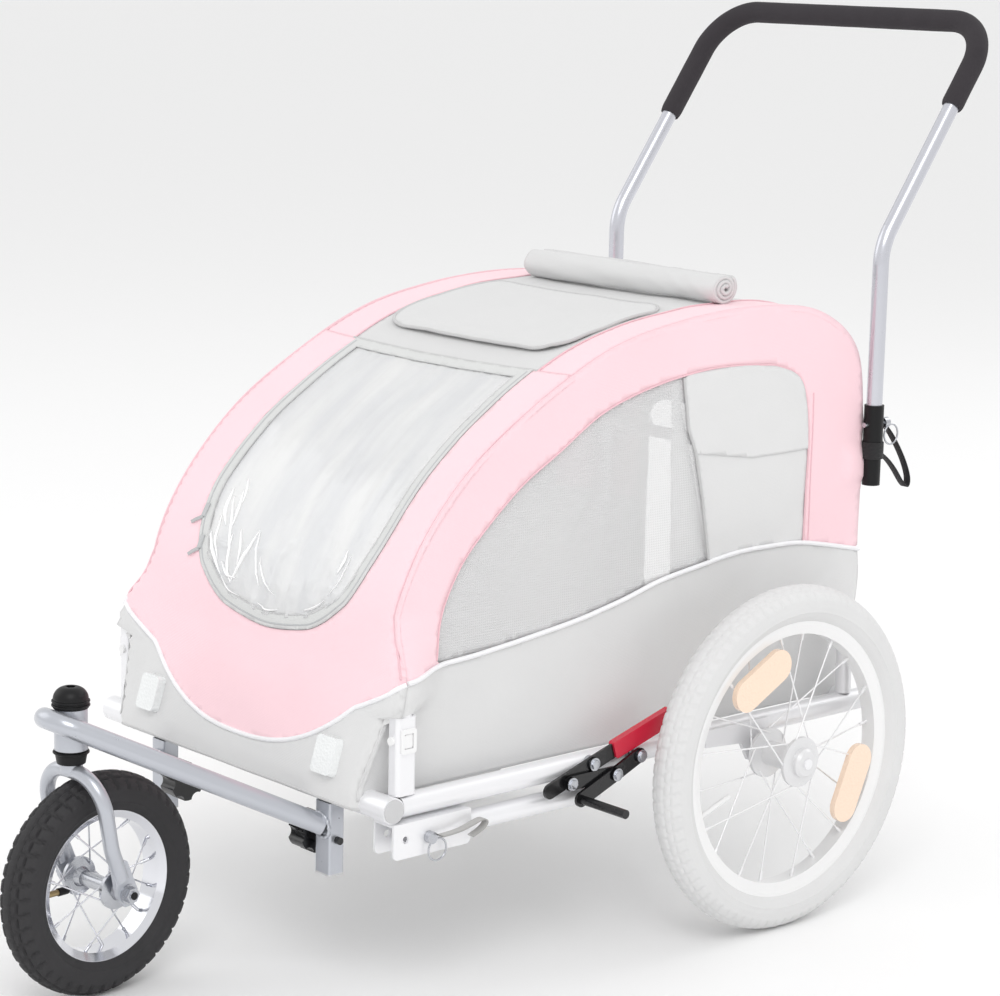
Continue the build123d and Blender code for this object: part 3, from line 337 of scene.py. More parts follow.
def tube(name, body, slot, material, line, radius, closed=False, sides=10, scale=None):
    made = sweep(line, ring(radius, sides), closed=closed, scale=scale)
    return mesh_piece(name, body, slot, material, *made, sharp=60)


def merged(parts):
    """One set of points, faces and flat coordinates from several."""
    points, faces, flat = [], [], []
    for p, f, u in parts:
        base = len(points)
        points += [tuple(x) for x in p]
        faces += [tuple(i + base for i in face) for face in f]
        flat += list(u)
    return points, faces, flat


def inside(points, loops):
    """Which points lie inside an odd number of closed loops."""
    hit = np.zeros(len(points), bool)
    for loop in loops:
        a, b = loop, np.roll(loop, -1, 0)
        for (ax, ay), (bx, by) in zip(a, b):
            crosses = (points[:, 1] < ay) != (points[:, 1] < by)
            if crosses.any():
                at = ax + (points[:, 1] - ay) * (bx - ax) / (by - ay if by != ay else 1e-12)
                hit ^= crosses & (points[:, 0] < at)
    return hit


def filled(outline, holes=(), step=8.0):
    """Points and triangles that fill an outline and leave its holes."""
    loops = [np.asarray(outline, float), *[np.asarray(h, float) for h in holes]]
    edge_points = np.vstack(loops)
    low, high = loops[0].min(0), loops[0].max(0)
    rows = []
    for r, v in enumerate(np.arange(low[1] + step / 2, high[1], step * 0.87)):
        u = np.arange(low[0] + (step / 2 if r % 2 else step), high[0], step)
        rows.append(np.stack([u, np.full(len(u), v)], 1))
    grid = np.vstack(rows)
    grid = grid[inside(grid, loops)]
    gap = np.sqrt(((grid[:, None, :] - edge_points[None, :, :]) ** 2).sum(2)).min(1)
    grid = grid[gap > step * 0.45]
    points = np.vstack([edge_points, grid])
    edges, base = [], 0
    for loop in loops:
        edges += [(base + i, base + (i + 1) % len(loop)) for i in range(len(loop))]
        base += len(loop)
    made = geometry.delaunay_2d_cdt([Vector(p) for p in points], edges, [], 0, 1e-5)
    found = np.array([tuple(v) for v in made[0]], float)
    triangles = np.array([f for f in made[2] if len(f) == 3], int)
    triangles = triangles[inside(found[triangles].mean(1), loops)]
    used = np.unique(triangles)
    renumber = np.zeros(len(found), int)
    renumber[used] = np.arange(len(used))
    return found[used], renumber[triangles]


def flat_area(points, triangles):
    a, b, c = (points[triangles[:, i]] for i in range(3))
    (bx, by), (cx, cy) = (b - a).T, (c - a).T
    return float(np.abs(bx * cy - by * cx).sum() / 2)


def cloth(name, slot, material, outline, place, holes=(), step=8.0, thick=1.2, flip=False,
          body="chassis", stands_for=None):  # fmt: skip
    """A stretched sheet of cloth: an outline in flat coordinates, put in place point by point."""
    flat, triangles = filled(outline, holes, step)
    points = [place(u, v) for u, v in flat]
    if flip:
        triangles = triangles[:, ::-1]
    piece = mesh_piece(name, body, slot, material, points, triangles, flat, sharp=60)
    closed_up(piece, thick)
    width, length = (flat.max(0) - flat.min(0)) * MM
    area = flat_area(flat, triangles) * MM * MM
    if area < 0.31 * width * length:
        edges = sum(np.linalg.norm(np.asarray(e) - np.roll(e, 1, 0), axis=1).sum() for e in (outline, *holes))
        width, length = edges / 2 * MM, area / (edges / 2 * MM)
    if stands_for:
        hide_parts(stands_for)


def seam(name, line, radius, body="chassis", slot="pink_fabric", material=PINK_SEAM, **shape):
    tube(name, body, slot, material, line, radius, **shape)


def grey_seam(name, line, radius, material=GREY_SEAM, body="chassis", **shape):
    seam(name, line, radius, body, "grey_fabric", material, **shape)


def crumple(x, y, z, size, height, seed=0.0):
    """A gentle unevenness of cloth, for a place in millimetres."""
    return height * noise.noise(Vector((x / size + seed, y / size - seed, z / size)))


# -------- shape of the cabin
CABIN_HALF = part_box("side_fabric")[1].x / MM
ARCH = [
    (-302, 357), (-285, 437), (-236, 517), (-152, 592), (-10, 668),
    (111, 697), (239, 706), (340, 694), (408, 646), (426, 557),
]  # fmt: skip
FRONT_HEM, FRONT_LOW, REAR_HEM = (-340, 218), (-339, 236), (422, 240)
FLAP_Y, ROOF_END_Z = -49.0, 612.0
front_run, rear_run = straight([FRONT_HEM, FRONT_LOW, ARCH[0]]), straight([ARCH[-1], REAR_HEM])
arch = np.vstack([front_run[:-1], smooth(ARCH, 4.0)[:-1], rear_run])
arch_s = np.concatenate([[0], np.cumsum(np.linalg.norm(np.diff(arch, axis=0), axis=1))])
arch_ahead = np.gradient(arch, arch_s, axis=0)
kernel = np.ones(5) / 5
arch_ahead = np.stack([np.convolve(np.pad(arch_ahead[:, k], 2, "edge"), kernel, "valid") for k in (0, 1)], 1)
arch_ahead /= np.linalg.norm(arch_ahead, axis=1)[:, None]
top = int(arch[:, 1].argmax())


def s_front(z):
    return float(np.interp(z, arch[:top, 1], arch_s[:top]))


def s_roof(y):
    roofward = (arch[:, 0] > -330) & (arch_s < arch_s[-1] - 300)
    return float(np.interp(y, arch[roofward, 0], arch_s[roofward]))


def s_back(z):
    return float(np.interp(-z, -arch[top:, 1], arch_s[top:]))


S_FLAP, S_END, S_HEM = s_roof(FLAP_Y), s_back(ROOF_END_Z), arch_s[-1]
SAG_S = [0, s_front(320), s_front(430), s_front(560), S_FLAP, s_roof(120), s_roof(340), S_END, S_HEM]
SAG = [0, 1, 9, 12, 7, 4, 3, 3, 0]
CORNER = 7.0

MOUTH_Z = 318.0  # above the buckles the hoops run inside the cloth
FRONT_FLARE = [(338, 38.5), (357, 34), (366, 29), (380, 19), (395, 9), (418, 0)]
REAR_FLARE = [(330, 38.5), (361, 18.5), (380, 9), (405, 0)]


def eased(value):
    t = min(1.0, max(0.0, value))
    return t * t * (3 - 2 * t)


def flare(z, profile):
    """How far the cloth is drawn out over the foot of a hoop, at a height. Below the mouth at the front it
    follows the post's inner face and leaves it slowly."""
    heights, widths = zip(*profile)
    low = 14.5 * min(1.0, max(0.0, (z - 246) / 66)) if profile is FRONT_FLARE else 0.0
    over = eased((z - MOUTH_Z) / 5)
    return float(np.interp(z, heights, widths)) * over + low * (1 - over)


def shell(x, s, lift=0.0, rough=1.0):
    """A point of the cabin's skin: x across, s along the arch from the front hem, lifted outwards."""
    y, z = np.interp(s, arch_s, arch[:, 0]), np.interp(s, arch_s, arch[:, 1])
    ay, az = np.interp(s, arch_s, arch_ahead[:, 0]), np.interp(s, arch_s, arch_ahead[:, 1])
    out_y, out_z = -az, ay
    share = min(1.0, abs(x) / CABIN_HALF)
    drop = np.interp(s, SAG_S, SAG) * (1 - share**2)
    over = abs(x) - (CABIN_HALF - CORNER)
    if over > 0:
        drop += CORNER - sqrt(max(0.0, CORNER**2 - min(over, CORNER) ** 2))
    ripple = rough * crumple(x, s, 0, 60, 1.4) * (1 - share**6)
    out = lift - drop + ripple - 0.2
    if s < S_FLAP:
        wide = flare(z, FRONT_FLARE) * eased((abs(x) - 172) / 44)
        out += 0.2 * wide * eased((404 - z) / 40)
        x += wide if x > 0 else -wide
    return (x, y + out_y * out, z + out_z * out)


def lifted(by, rough=1.0):
    """The cabin's skin moved outwards, as a place function for cloth."""
    return lambda x, s: shell(x, s, by, rough)


def side_out(y, z):
    """How far out the side cloth stands at a place: it is drawn over the hoops' feet and the sleeve's arm."""
    base = CABIN_HALF + crumple(0, y, z, 70, 1.6, 3.0)
    edge = float(np.interp(z, arch[:top, 1], arch[:top, 0]))
    front = flare(z, FRONT_FLARE) * (1 - eased((y - edge) / 85))
    hoop_y = float(np.interp(z, [324, 361, 400], [379, 393, 406]))
    rear = flare(z, REAR_FLARE) * float(np.exp(-(((y - hoop_y) / 24) ** 2)))
    over_arm = eased((y - 386) / 18) * eased((432 - y) / 9)
    sleeve_arm = 5.5 * over_arm * eased((z - 478) / 16) * eased((534 - z) / 18)
    return base + front + rear + sleeve_arm


def side_skin(side, lift=0.0):
    return lambda y, z: (side * (side_out(y, z) + lift), y, z)


PIPE_SIDE = smooth(
    [
        (-302, 357), (-202, 361), (-145, 366), (-88, 372), (-29, 380), (32, 392), (93, 407), (156, 416),
        (221, 424), (289, 424), (323, 422), (358, 416), (425, 402),
    ],
    7.0,
)  # fmt: skip
WINDOW_ROOF_LINE = [
    (-238, 366), (-230, 408), (-211, 448), (-184, 482), (-122, 535), (-65, 569), (-7, 603), (53, 623),
    (114, 635), (177, 641), (243, 638), (276, 634), (311, 618), (325, 585), (330, 531), (329, 484),
    (328, 423),
]  # fmt: skip
window_top = smooth(WINDOW_ROOF_LINE, 7.0)


def pipe_z(y):
    return float(np.interp(y, PIPE_SIDE[:, 0], PIPE_SIDE[:, 1]))


def pipe_front(x):
    """Height of the front piping."""
    return 256 + 100 * (abs(x) / CABIN_HALF) ** 2.5


on_arch = arch[(arch_s >= s_front(357)) & (arch_s <= s_back(402))]


def shrunk(line, inward):
    """An open line moved to its right by a distance."""
    ahead = np.gradient(line, axis=0)
    ahead /= np.linalg.norm(ahead, axis=1)[:, None]
    return line + np.stack([ahead[:, 1], -ahead[:, 0]], 1) * inward


def loop_of(*lines):
    """One closed loop from lines laid end to end, without doubled points."""
    points = np.vstack(lines)
    keep = np.linalg.norm(points - np.roll(points, 1, 0), axis=1) > 0.5
    return points[keep]


def closed(line):
    """One closed loop: a line and the straight run back to its start."""
    return loop_of(line, straight([line[-1], line[0]]))


PIPING_R, ZIP_R = 2.7, 1.3


def make_side(name, side):
    flip = side < 0
    sill = PIPE_SIDE[(PIPE_SIDE[:, 0] > -236) & (PIPE_SIDE[:, 0] < 327)][::-1]
    skin = side_skin(side)
    # Pink above the piping, round the window.
    upper = loop_of(on_arch, PIPE_SIDE[(PIPE_SIDE[:, 0] < 424)][::-1])
    opening = loop_of(window_top, sill + [0, 1.5])
    cloth(f"{name}_side_upper", "pink_fabric", PINK, upper, skin, [opening], flip=flip,
          stands_for="side_fabric")  # fmt: skip
    # Grey below it, down to the hem behind the rail.
    hem = [(y, 230.0) for y in np.arange(420, -338, -7.0)]
    front_edge = straight([(-339, 230), (-337.5, 240), (-302.5, 356)], 7.0)
    rear_edge = straight([(423, 402), (420.5, 231.5)], 7.0)
    lower = loop_of(PIPE_SIDE[PIPE_SIDE[:, 0] < 422], rear_edge, hem, front_edge)
    cloth(f"{name}_side_lower", "grey_fabric", GREY_LOW, lower, skin, flip=flip, stands_for="side_fabric")
    # The window: mesh, drawn a little inwards, with a bound edge.
    net = loop_of(shrunk(window_top, -1.5), sill + [0, 0.6])

    def sagging(y, z):
        return (side * (CABIN_HALF - 2.6 - 2.0 * sin(min(1.0, max(0.0, (z - 380) / 240)) * pi)), y, z)

    cloth(f"{name}_side_net", "window_mesh", NET, net, sagging, thick=0.5, flip=flip,
          stands_for="side_windows")  # fmt: skip
    rim = [(side * (side_out(y, z) + 0.1), y, z) for y, z in window_top]
    seam(f"{name}_window_seam", rim, 1.1)
    # Piping along the boundary and the seam of the side with the top.
    pipe = [(side * (side_out(y, z) + 0.8), y, z) for y, z in PIPE_SIDE]
    grey_seam(f"{name}_side_piping", pipe, PIPING_R, PIPING)
    edge = [shell(side * (CABIN_HALF - 3.0), s, 0.3) for s in np.arange(s_front(360), S_HEM - 2, 6.0)]
    seam(f"{name}_corner_seam", edge, 1.2)
    # The upright seam behind the window.
    upright = [(side * (side_out(336, z) + 0.2), 336, z) for z in np.arange(424, 602, 6.0)]
    seam(f"{name}_upright_seam", upright, 0.9)


POCKET_FRONT = [(121, 634), (131, 574), (143, 548), (157, 492), (170, 421)]
pocket_rim = window_top[window_top[:, 0] > 123]


def make_pocket(name, side):
    """The pocket on the rear half of the side window: a slightly full panel with a flap over its mouth."""
    foot = [(y, pipe_z(y) + 1.0) for y in np.arange(170, 328, 7.0)]
    outline = loop_of(pocket_rim, foot[::-1], straight(POCKET_FRONT[::-1], 6.0))
    centre = np.array([235.0, 520.0])

    def bag(lift, fullness):
        def place(y, z):
            far = min(1.0, hypot((y - centre[0]) / 92, (z - centre[1]) / 110))
            out = CABIN_HALF - 0.6 + lift + fullness * (1 - far**2.4) + crumple(5, y, z, 38, 1.0, 9.0)
            return (side * out, y, z)

        return place

    flip = side < 0
    edge = straight([(329, 533), (232, 533), (178, 541), (143, 546), (131, 574), (122, 632)], 6.0)
    flap = loop_of(pocket_rim[pocket_rim[:, 1] > 534], edge)
    # The backing reaches a little further forward, behind the net, with an upright edge.
    backing = loop_of(straight([(111, 634), (119, 408), (176, 418), (150, 520), (126, 600), (124, 636)], 6.0))
    for label, loop, lift, fullness in (("pocket", outline, 0, 4.0), ("pocket_flap", flap, 1.5, 4.0),
                                        ("pocket_backing", backing, -8.0, 0.0)):  # fmt: skip
        cloth(f"{name}_{label}", "window_mesh", GREY_PANEL, loop, bag(lift, fullness), step=6.0, flip=flip)
    front = [bag(0.8, 0.5)(y, z) for y, z in straight(POCKET_FRONT, 6.0)]
    tube(f"{name}_pocket_edge", "chassis", "window_mesh", GREY_SEAM, front, 1.6)


WINDOW_SIDE = [(65, 377), (95, 389), (121, 408), (135, 423), (150, 455), (160, 505), (158, 570)]
WINDOW_TOP = (153, 655)


def window_outline(inward=0.0):
    """The front window's sides and round foot in x and s, from its top right to its top left."""
    half = [(0, 369), *WINDOW_SIDE, WINDOW_TOP]
    both = smooth([(-u, v) for u, v in reversed(half[1:])] + half, 6.0)
    line = np.array([(x, min(S_FLAP, s_front(z))) for x, z in both])
    line = line[line[:, 1] < S_FLAP - 1.0]
    line = np.vstack([[(line[0][0], S_FLAP)], line, [(line[-1][0], S_FLAP)]])
    if inward:
        line = shrunk(line, -inward)
        line[0], line[-1] = (line[0][0], S_FLAP - inward), (line[-1][0], S_FLAP - inward)
        line = line[line[:, 1] <= S_FLAP - inward + 0.01]
    return line


def make_front():
    """Pink round the front window, grey below the piping, and the corner seams."""
    edge = window_outline()
    s_corner = s_front(356)
    right = straight([tuple(edge[-1]), (CABIN_HALF, S_FLAP), (CABIN_HALF, s_corner)], 7.0)
    piping = np.array([(x, s_front(pipe_front(x))) for x in np.linspace(CABIN_HALF, -CABIN_HALF, 73)])
    left = straight([(-CABIN_HALF, s_corner), (-CABIN_HALF, S_FLAP), tuple(edge[0])], 7.0)
    outline = loop_of(right, piping, left, edge)
    cloth("front_upper", "pink_fabric", PINK, outline, shell, step=7.0, flip=True, stands_for="front_cover")
    hem = [(-CABIN_HALF, s_corner), (-CABIN_HALF, 1.0), (CABIN_HALF, 1.0), (CABIN_HALF, s_corner)]
    low = loop_of(piping, straight(hem, 7.0))
    cloth("front_lower", "grey_fabric", GREY_LOW, low, lifted(0.0, 0.6), flip=True)
    line = [shell(x, s, 1.0, 0.6) for x, s in piping]
    grey_seam("front_piping", line, PIPING_R, PIPING)
    hem_line = [shell(x, 3.0, 0.4, 0.6) for x in np.linspace(-CABIN_HALF, CABIN_HALF, 60)]
    grey_seam("front_hem", hem_line, 1.6)
    for name, side in SIDES.items():
        cross = [shell(x, S_FLAP, 0.5) for x in np.linspace(side * 156, side * CABIN_HALF, 12)]
        seam(f"{name}_cross_seam", cross, 1.0)


BORDER = 16.0


def make_window():
    """The front window's flap: a zipper border, a net and a clear film over it."""
    outer, inner = closed(window_outline(0.6)), window_outline(BORDER)
    cloth("window_border", "grey_fabric", GREY_TAPE, outer, lifted(1.0), [closed(inner)], 5.0, flip=True,
          body="window_flap", stands_for="window_flap_border")  # fmt: skip
    beneath = closed(window_outline(BORDER - 3.0))
    cloth("window_net", "window_mesh", FRONT_NET, beneath, lifted(-1.2), thick=0.5, flip=True,
          body="window_flap", stands_for="window_flap_mesh")  # fmt: skip
    s_low = s_front(369)

    def film_skin(x, s):
        """Taut at the top, loose and creased towards the round foot."""
        low = max(0.0, 1 - (s - s_low) / 190)
        streak = noise.noise(Vector((x / 11, s / 90, 1.0)))
        crease = 1 - abs(noise.noise(Vector((x / 34, s / 60, 5.0))) * 2)
        fold = 1 - abs(noise.noise(Vector((x / 22 + s / 80, s / 34, 8.0))) * 2)
        return shell(x, s, 0.5 + 0.7 * streak + low * (2.4 * crease**3 + 1.8 * fold**4))

    cloth("window_film", "window_mesh", FILM, beneath, film_skin, step=5.0, thick=0.3, flip=True,
          body="window_flap")  # fmt: skip
    # Painted glints: white glossy ridges along the film's creases stand for the highlights on them.
    folds = [
        [(-122, 470), (-116, 446), (-104, 424)], [(-92, 455), (-85, 428), (-71, 404)],
        [(-71, 404), (-60, 436), (-51, 466)], [(-51, 466), (-40, 436), (-24, 409)],
        [(-108, 500), (-101, 482), (-99, 463)], [(60, 397), (77, 403), (92, 414)],
        [(98, 420), (109, 440), (113, 465)], [(-18, 391), (1, 387), (19, 390)],
        [(-128, 452), (-112, 430), (-92, 410)], [(-92, 410), (-74, 397), (-52, 392)],
        [(-118, 492), (-100, 462), (-88, 436)], [(-126, 500), (-121, 478), (-110, 462)],
        [(-112, 512), (-104, 502), (-100, 488)], [(-82, 462), (-72, 444), (-68, 424)],
        [(-96, 424), (-80, 412), (-62, 410)], [(-34, 440), (-20, 420), (6, 404)],
        [(100, 444), (104, 456), (103, 470)],
    ]  # fmt: skip
    parts = []
    for k, fold in enumerate(folds):
        line = [np.array(film_skin(x, s_front(z))) + [0, -0.5, 0.3] for x, z in smooth(fold, 3.0)]
        taper = [0.2 + 0.8 * sin(pi * i / (len(line) - 1)) for i in range(len(line))]
        parts.append(sweep(line, ring(1.4 + 0.5 * (k % 3), 8, 0.6), scale=taper))
    mesh_piece("window_film_crease_glints", "window_flap", "window_mesh", GLINT, *merged(parts), sharp=60)
    # The zipper's coil, its two sliders and their pulls.
    coil = [shell(x, s, 1.6) for x, s in window_outline(5.5)]
    grey_seam("window_zipper", coil, ZIP_R, ZIP, "window_flap", sides=8)
    edge = [shell(x, s, 1.5) for x, s in inner]
    grey_seam("window_inner_seam", edge, 1.0, GREY_SEAM, "window_flap", sides=8)
    parts = []
    for x, z in [(-150, 478), (-138, 446)]:
        s = s_front(z)
        at = np.array(shell(x, s, 3.2))
        beyond = np.array(shell(x, s - 16, 3.0))
        parts.append(sweep([at, (at + beyond) / 2, beyond], flat_section(6.5, 3.0), across=(1, 0, 0)))
        pull = np.array(shell(x - 14, s - 26, 4.0))
        line = [beyond, (beyond + pull) / 2 + [0, -1.5, 0], pull]
        parts.append(sweep(line, flat_section(4.0, 1.4), across=(0, 0, 1)))
    mesh_piece("window_zip_pulls", "window_flap", "grey_fabric", ZIP, *merged(parts))


ROOF_HALF = 159.0
VENT_HALF, VENT_FRONT, VENT_REAR, VENT_R = 150.0, -15.0, 165.0, 40.0


def rounded_box(half, low, high, radius, step=6.0):
    """A rounded rectangle in x and s, as a closed loop."""
    points = []
    right, left, top_s, foot_s = half - radius, radius - half, high - radius, low + radius
    for cx, cs, start in [(right, top_s, 0), (left, top_s, 90), (left, foot_s, 180), (right, foot_s, 270)]:
        for a in range(0, 91, 10):
            t = radians(start + a)
            points.append((cx + radius * cos(t), cs + radius * sin(t)))
    return straight([*points, points[0]], step)[:-1]


def roof_strip(a, b, step):
    """The roof between two values of x, as a closed loop."""
    corners = [(b, S_FLAP), (b, S_END), (a, S_END), (a, S_FLAP), (b, S_FLAP)]
    return loop_of(straight(corners, step)[:-1])


def make_roof():
    vent = rounded_box(VENT_HALF - 16, s_roof(VENT_FRONT + 16), s_roof(VENT_REAR - 16), 26)
    middle = roof_strip(-ROOF_HALF, ROOF_HALF, 8.0)
    cloth("roof_middle", "grey_fabric", GREY, middle, shell, [vent], stands_for="roof_cover")
    for name, side in SIDES.items():
        strip = roof_strip(*sorted((side * ROOF_HALF, side * CABIN_HALF)), 7.0)
        cloth(f"{name}_roof_strip", "pink_fabric", PINK, strip, shell, step=7.0)
        line = [shell(side * ROOF_HALF, s, 0.5) for s in np.arange(S_FLAP, S_HEM - 150, 6.0)]
        seam(f"{name}_roof_seam", line, 1.1)
    across = [shell(x, S_FLAP, 1.0) for x in np.linspace(-ROOF_HALF, ROOF_HALF, 50)]
    grey_seam("roof_front_seam", across, 1.5)

    # The vent's hatch: a raised rim that lifts at its front, and a slack panel inside it.
    low, high = s_roof(VENT_FRONT), s_roof(VENT_REAR)
    hatch = rounded_box(VENT_HALF, low, high, VENT_R)
    mid_s, half_s = (low + high) / 2, (high - low) / 2

    def hatch_skin(x, s):
        far = max(abs(x) / VENT_HALF, abs(s - mid_s) / half_s)
        front = max(0.0, 1 - (s - low) / (high - low))
        rim = 1 / (1 + ((far - 0.88) / 0.07) ** 2)
        slack = -2.2 * max(0.0, 1 - far * 1.2) ** 0.5
        lip = 4.0 * front**2 * (1 - 0.25 * (x / VENT_HALF) ** 2)
        return shell(x, s, 1.4 + 2.4 * rim + slack + lip + crumple(x, s, 2, 45, 1.3, 7.0))

    cloth("vent_hatch", "grey_fabric", GREY, hatch, hatch_skin, step=6.0,
          stands_for="roof_vent")  # fmt: skip
    edge = [np.array(hatch_skin(x, s)) + [0, 0, -0.6] for x, s in hatch]
    grey_seam("vent_edge", edge, 2.0, closed=True)


ROLL_Y, ROLL_Z, ROLL_FROM, ROLL_TO, ROLL_A, ROLL_B = 226.0, 722.0, -150.0, 174.0, 21.0, 18.5


def make_roll():
    """The storm cover rolled up behind the vent: a spiral of cloth, crumpled near its ends."""
    turns, per_turn, across = 3.0, 32, 90
    points, faces, flat = [], [], []
    count = int(turns * per_turn)
    for i in range(across + 1):
        x = ROLL_FROM + (ROLL_TO - ROLL_FROM) * i / across
        end = abs(2 * i / across - 1)
        loose = 1.10 - 0.14 * i / across + (0.05 - 0.10 * (i < across / 2)) * end**8
        for k in range(count + 1):
            turn = 2 * pi * k / per_turn
            share = k / count
            r = (0.26 + 0.74 * share) * loose
            swell = noise.noise(Vector((x / 60, 1.6 * cos(turn), 1.6 * sin(turn))))
            crease = 1 - abs(2 * noise.noise(Vector((x / 26 + cos(turn), 1.2 * sin(turn) + x / 70, share))))
            r *= 1.0 + 0.07 * swell + 0.05 * (0.3 + 0.7 * eased((x - 40) / 60)) * crease**3
            y = ROLL_Y + ROLL_A * r * cos(turn + 0.9)
            z = ROLL_Z + ROLL_B * r * sin(turn + 0.9)
            shift = (1.5 - 4.0 * share) * (1 if x > 0 else -1) * end**14
            points.append((x + shift, y, z))
            flat.append((x, k * 4.1))
    width = count + 1
    for i in range(across):
        for k in range(count):
            faces.append((i * width + k, i * width + k + 1, (i + 1) * width + k + 1, (i + 1) * width + k))
    roll = mesh_piece("rolled_cover_cloth", "chassis", "pink_fabric", GREY, points, faces, flat, sharp=80)
    closed_up(roll, 4.2)
    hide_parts("rolled_cover")


DOOR_HALF, DOOR_LOW_Z, DOOR_HEIGHT, BACK_PIPE_Z = 158.0, 262.0, 290.0, 402


def make_back():
    """The back: pink above and grey below, round a zipped door of mesh."""
    low = S_HEM - (DOOR_LOW_Z - REAR_HEM[1])
    door = np.array([(x, low - v) for x, v in rounded_box(DOOR_HALF, 0, DOOR_HEIGHT, 34)])[::-1]
    s_pipe = s_back(BACK_PIPE_Z)

    def bitten(near, far):
        """The back between two values of s, with the door's loop bitten out of it from the near one."""
        way = 1 if near > far else -1
        part = door[(door[:, 1] > min(near, far)) & (door[:, 1] < max(near, far))]
        left, right = part[part[:, 0] < 0], part[part[:, 0] >= 0]
        left, right = left[np.argsort(-way * left[:, 1])], right[np.argsort(way * right[:, 1])]
        corners = [(CABIN_HALF, near), (CABIN_HALF, far), (-CABIN_HALF, far), (-CABIN_HALF, near)]
        outside = straight([(DOOR_HALF, near), *corners, (-DOOR_HALF, near)], 7.0)
        return loop_of([(-DOOR_HALF, near)], left, right, [(DOOR_HALF, near)], outside)

    def door_scaled(across, along):
        middle = door[:, 1].mean()
        return [(x * across, (s - middle) * along + middle) for x, s in door]

    cloth("back_upper", "pink_fabric", PINK, bitten(s_pipe, S_END), shell, stands_for="rear_cover")
    cloth("back_lower", "grey_fabric", GREY_LOW, bitten(s_pipe, S_HEM - 1), shell)
    cloth("back_door_net", "window_mesh", REAR_NET, door, lifted(-1.2), thick=0.5)
    inner = np.array(door_scaled(0.9, 0.905))
    cloth("back_door_border", "grey_fabric", GREY_TAPE, door, lifted(1.0), [inner], 6.0)
    zipper = [shell(x, s, 1.6) for x, s in door_scaled(0.975, 0.975)]
    grey_seam("back_zipper", zipper, ZIP_R, ZIP, closed=True, sides=8)
    for name, side in SIDES.items():
        line = [shell(x, s_pipe, 1.0) for x in np.linspace(side * DOOR_HALF, side * CABIN_HALF, 16)]
        grey_seam(f"{name}_back_piping", line, PIPING_R, PIPING)
    across = [shell(x, S_END, 0.6) for x in np.linspace(-CABIN_HALF, CABIN_HALF, 60)]
    seam("back_cross_seam", across, 1.1)


# -------- tethers
TETHER_X = 220.5
HANDLE_ROUTE = [
    (447, 519), (462, 510), (479, 494), (493, 476), (503, 468), (506, 480),
    (496, 502), (481, 524), (467, 541), (460, 547),
]  # fmt: skip
TOW_TETHER_X = 269.9
TOW_ROUTE = [(-271, 194), (-251, 194), (-231, 198), (-214, 203), (-207, 198), (-216, 190), (-229, 186)]
WEB_WIDTH, WEB_THICK = 10.0, 1.6


def route_line(x, route):
    """Points along the smooth line that the route's points control."""
    data = bpy.data.curves.new("route", "CURVE")
    data.dimensions = "3D"
    spline = data.splines.new("NURBS")
    spline.points.add(len(route) - 1)
    for point, (y, z) in zip(spline.points, route):
        point.co = (x * MM, y * MM, z * MM, 1.0)
    spline.order_u = 3
    spline.use_endpoint_u = True
    spline.resolution_u = 8
    holder = bpy.data.objects.new("route", data)
    bpy.context.scene.collection.objects.link(holder)
    bpy.context.view_layer.update()
    mesh = bpy.data.meshes.new_from_object(holder)
    line = np.array([tuple(v.co) for v in mesh.vertices])
    bpy.data.objects.remove(holder)
    bpy.data.curves.remove(data)
    bpy.data.meshes.remove(mesh)
    return line


def make_tether(name, node, material, slot, x, route):
    line = route_line(x, route)
    made = sweep(line / MM, flat_section(WEB_WIDTH, WEB_THICK), across=(1, 0, 0))
    strap = mesh_piece(name, "chassis", slot, material, *made, sharp=50)
    strap.parent = None
    strap.matrix_world = Matrix.Identity(4)
    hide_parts(node)
    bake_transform(strap)


for name, side in SIDES.items():
    x = side * TETHER_X
    make_tether(f"{name}_handle_strap", f"{name}_handle_tether", WEB_BLACK, "webbing",
                x, HANDLE_ROUTE)  # fmt: skip
make_tether("tow_strap", "tow_pin_tether", WEB_PALE, "webbing", TOW_TETHER_X, TOW_ROUTE)  # fmt: skip

# -------- cabin
for name, side in SIDES.items():
    make_side(name, side)
    make_pocket(name, side)
make_front()
make_window()
make_roof()
make_roll()
make_back()

# -------- tyres
STEER_Y = -546.0
to_pivot = Matrix.Translation((0, STEER_Y * MM, 0))
STEER = to_pivot @ Matrix.Rotation(radians(5.2), 4, "Z") @ to_pivot.inverted()


def steered(points):
    """Points turned with the fork as it rests."""
    return [tuple(STEER @ (Vector(p) * MM) / MM) for p in points]


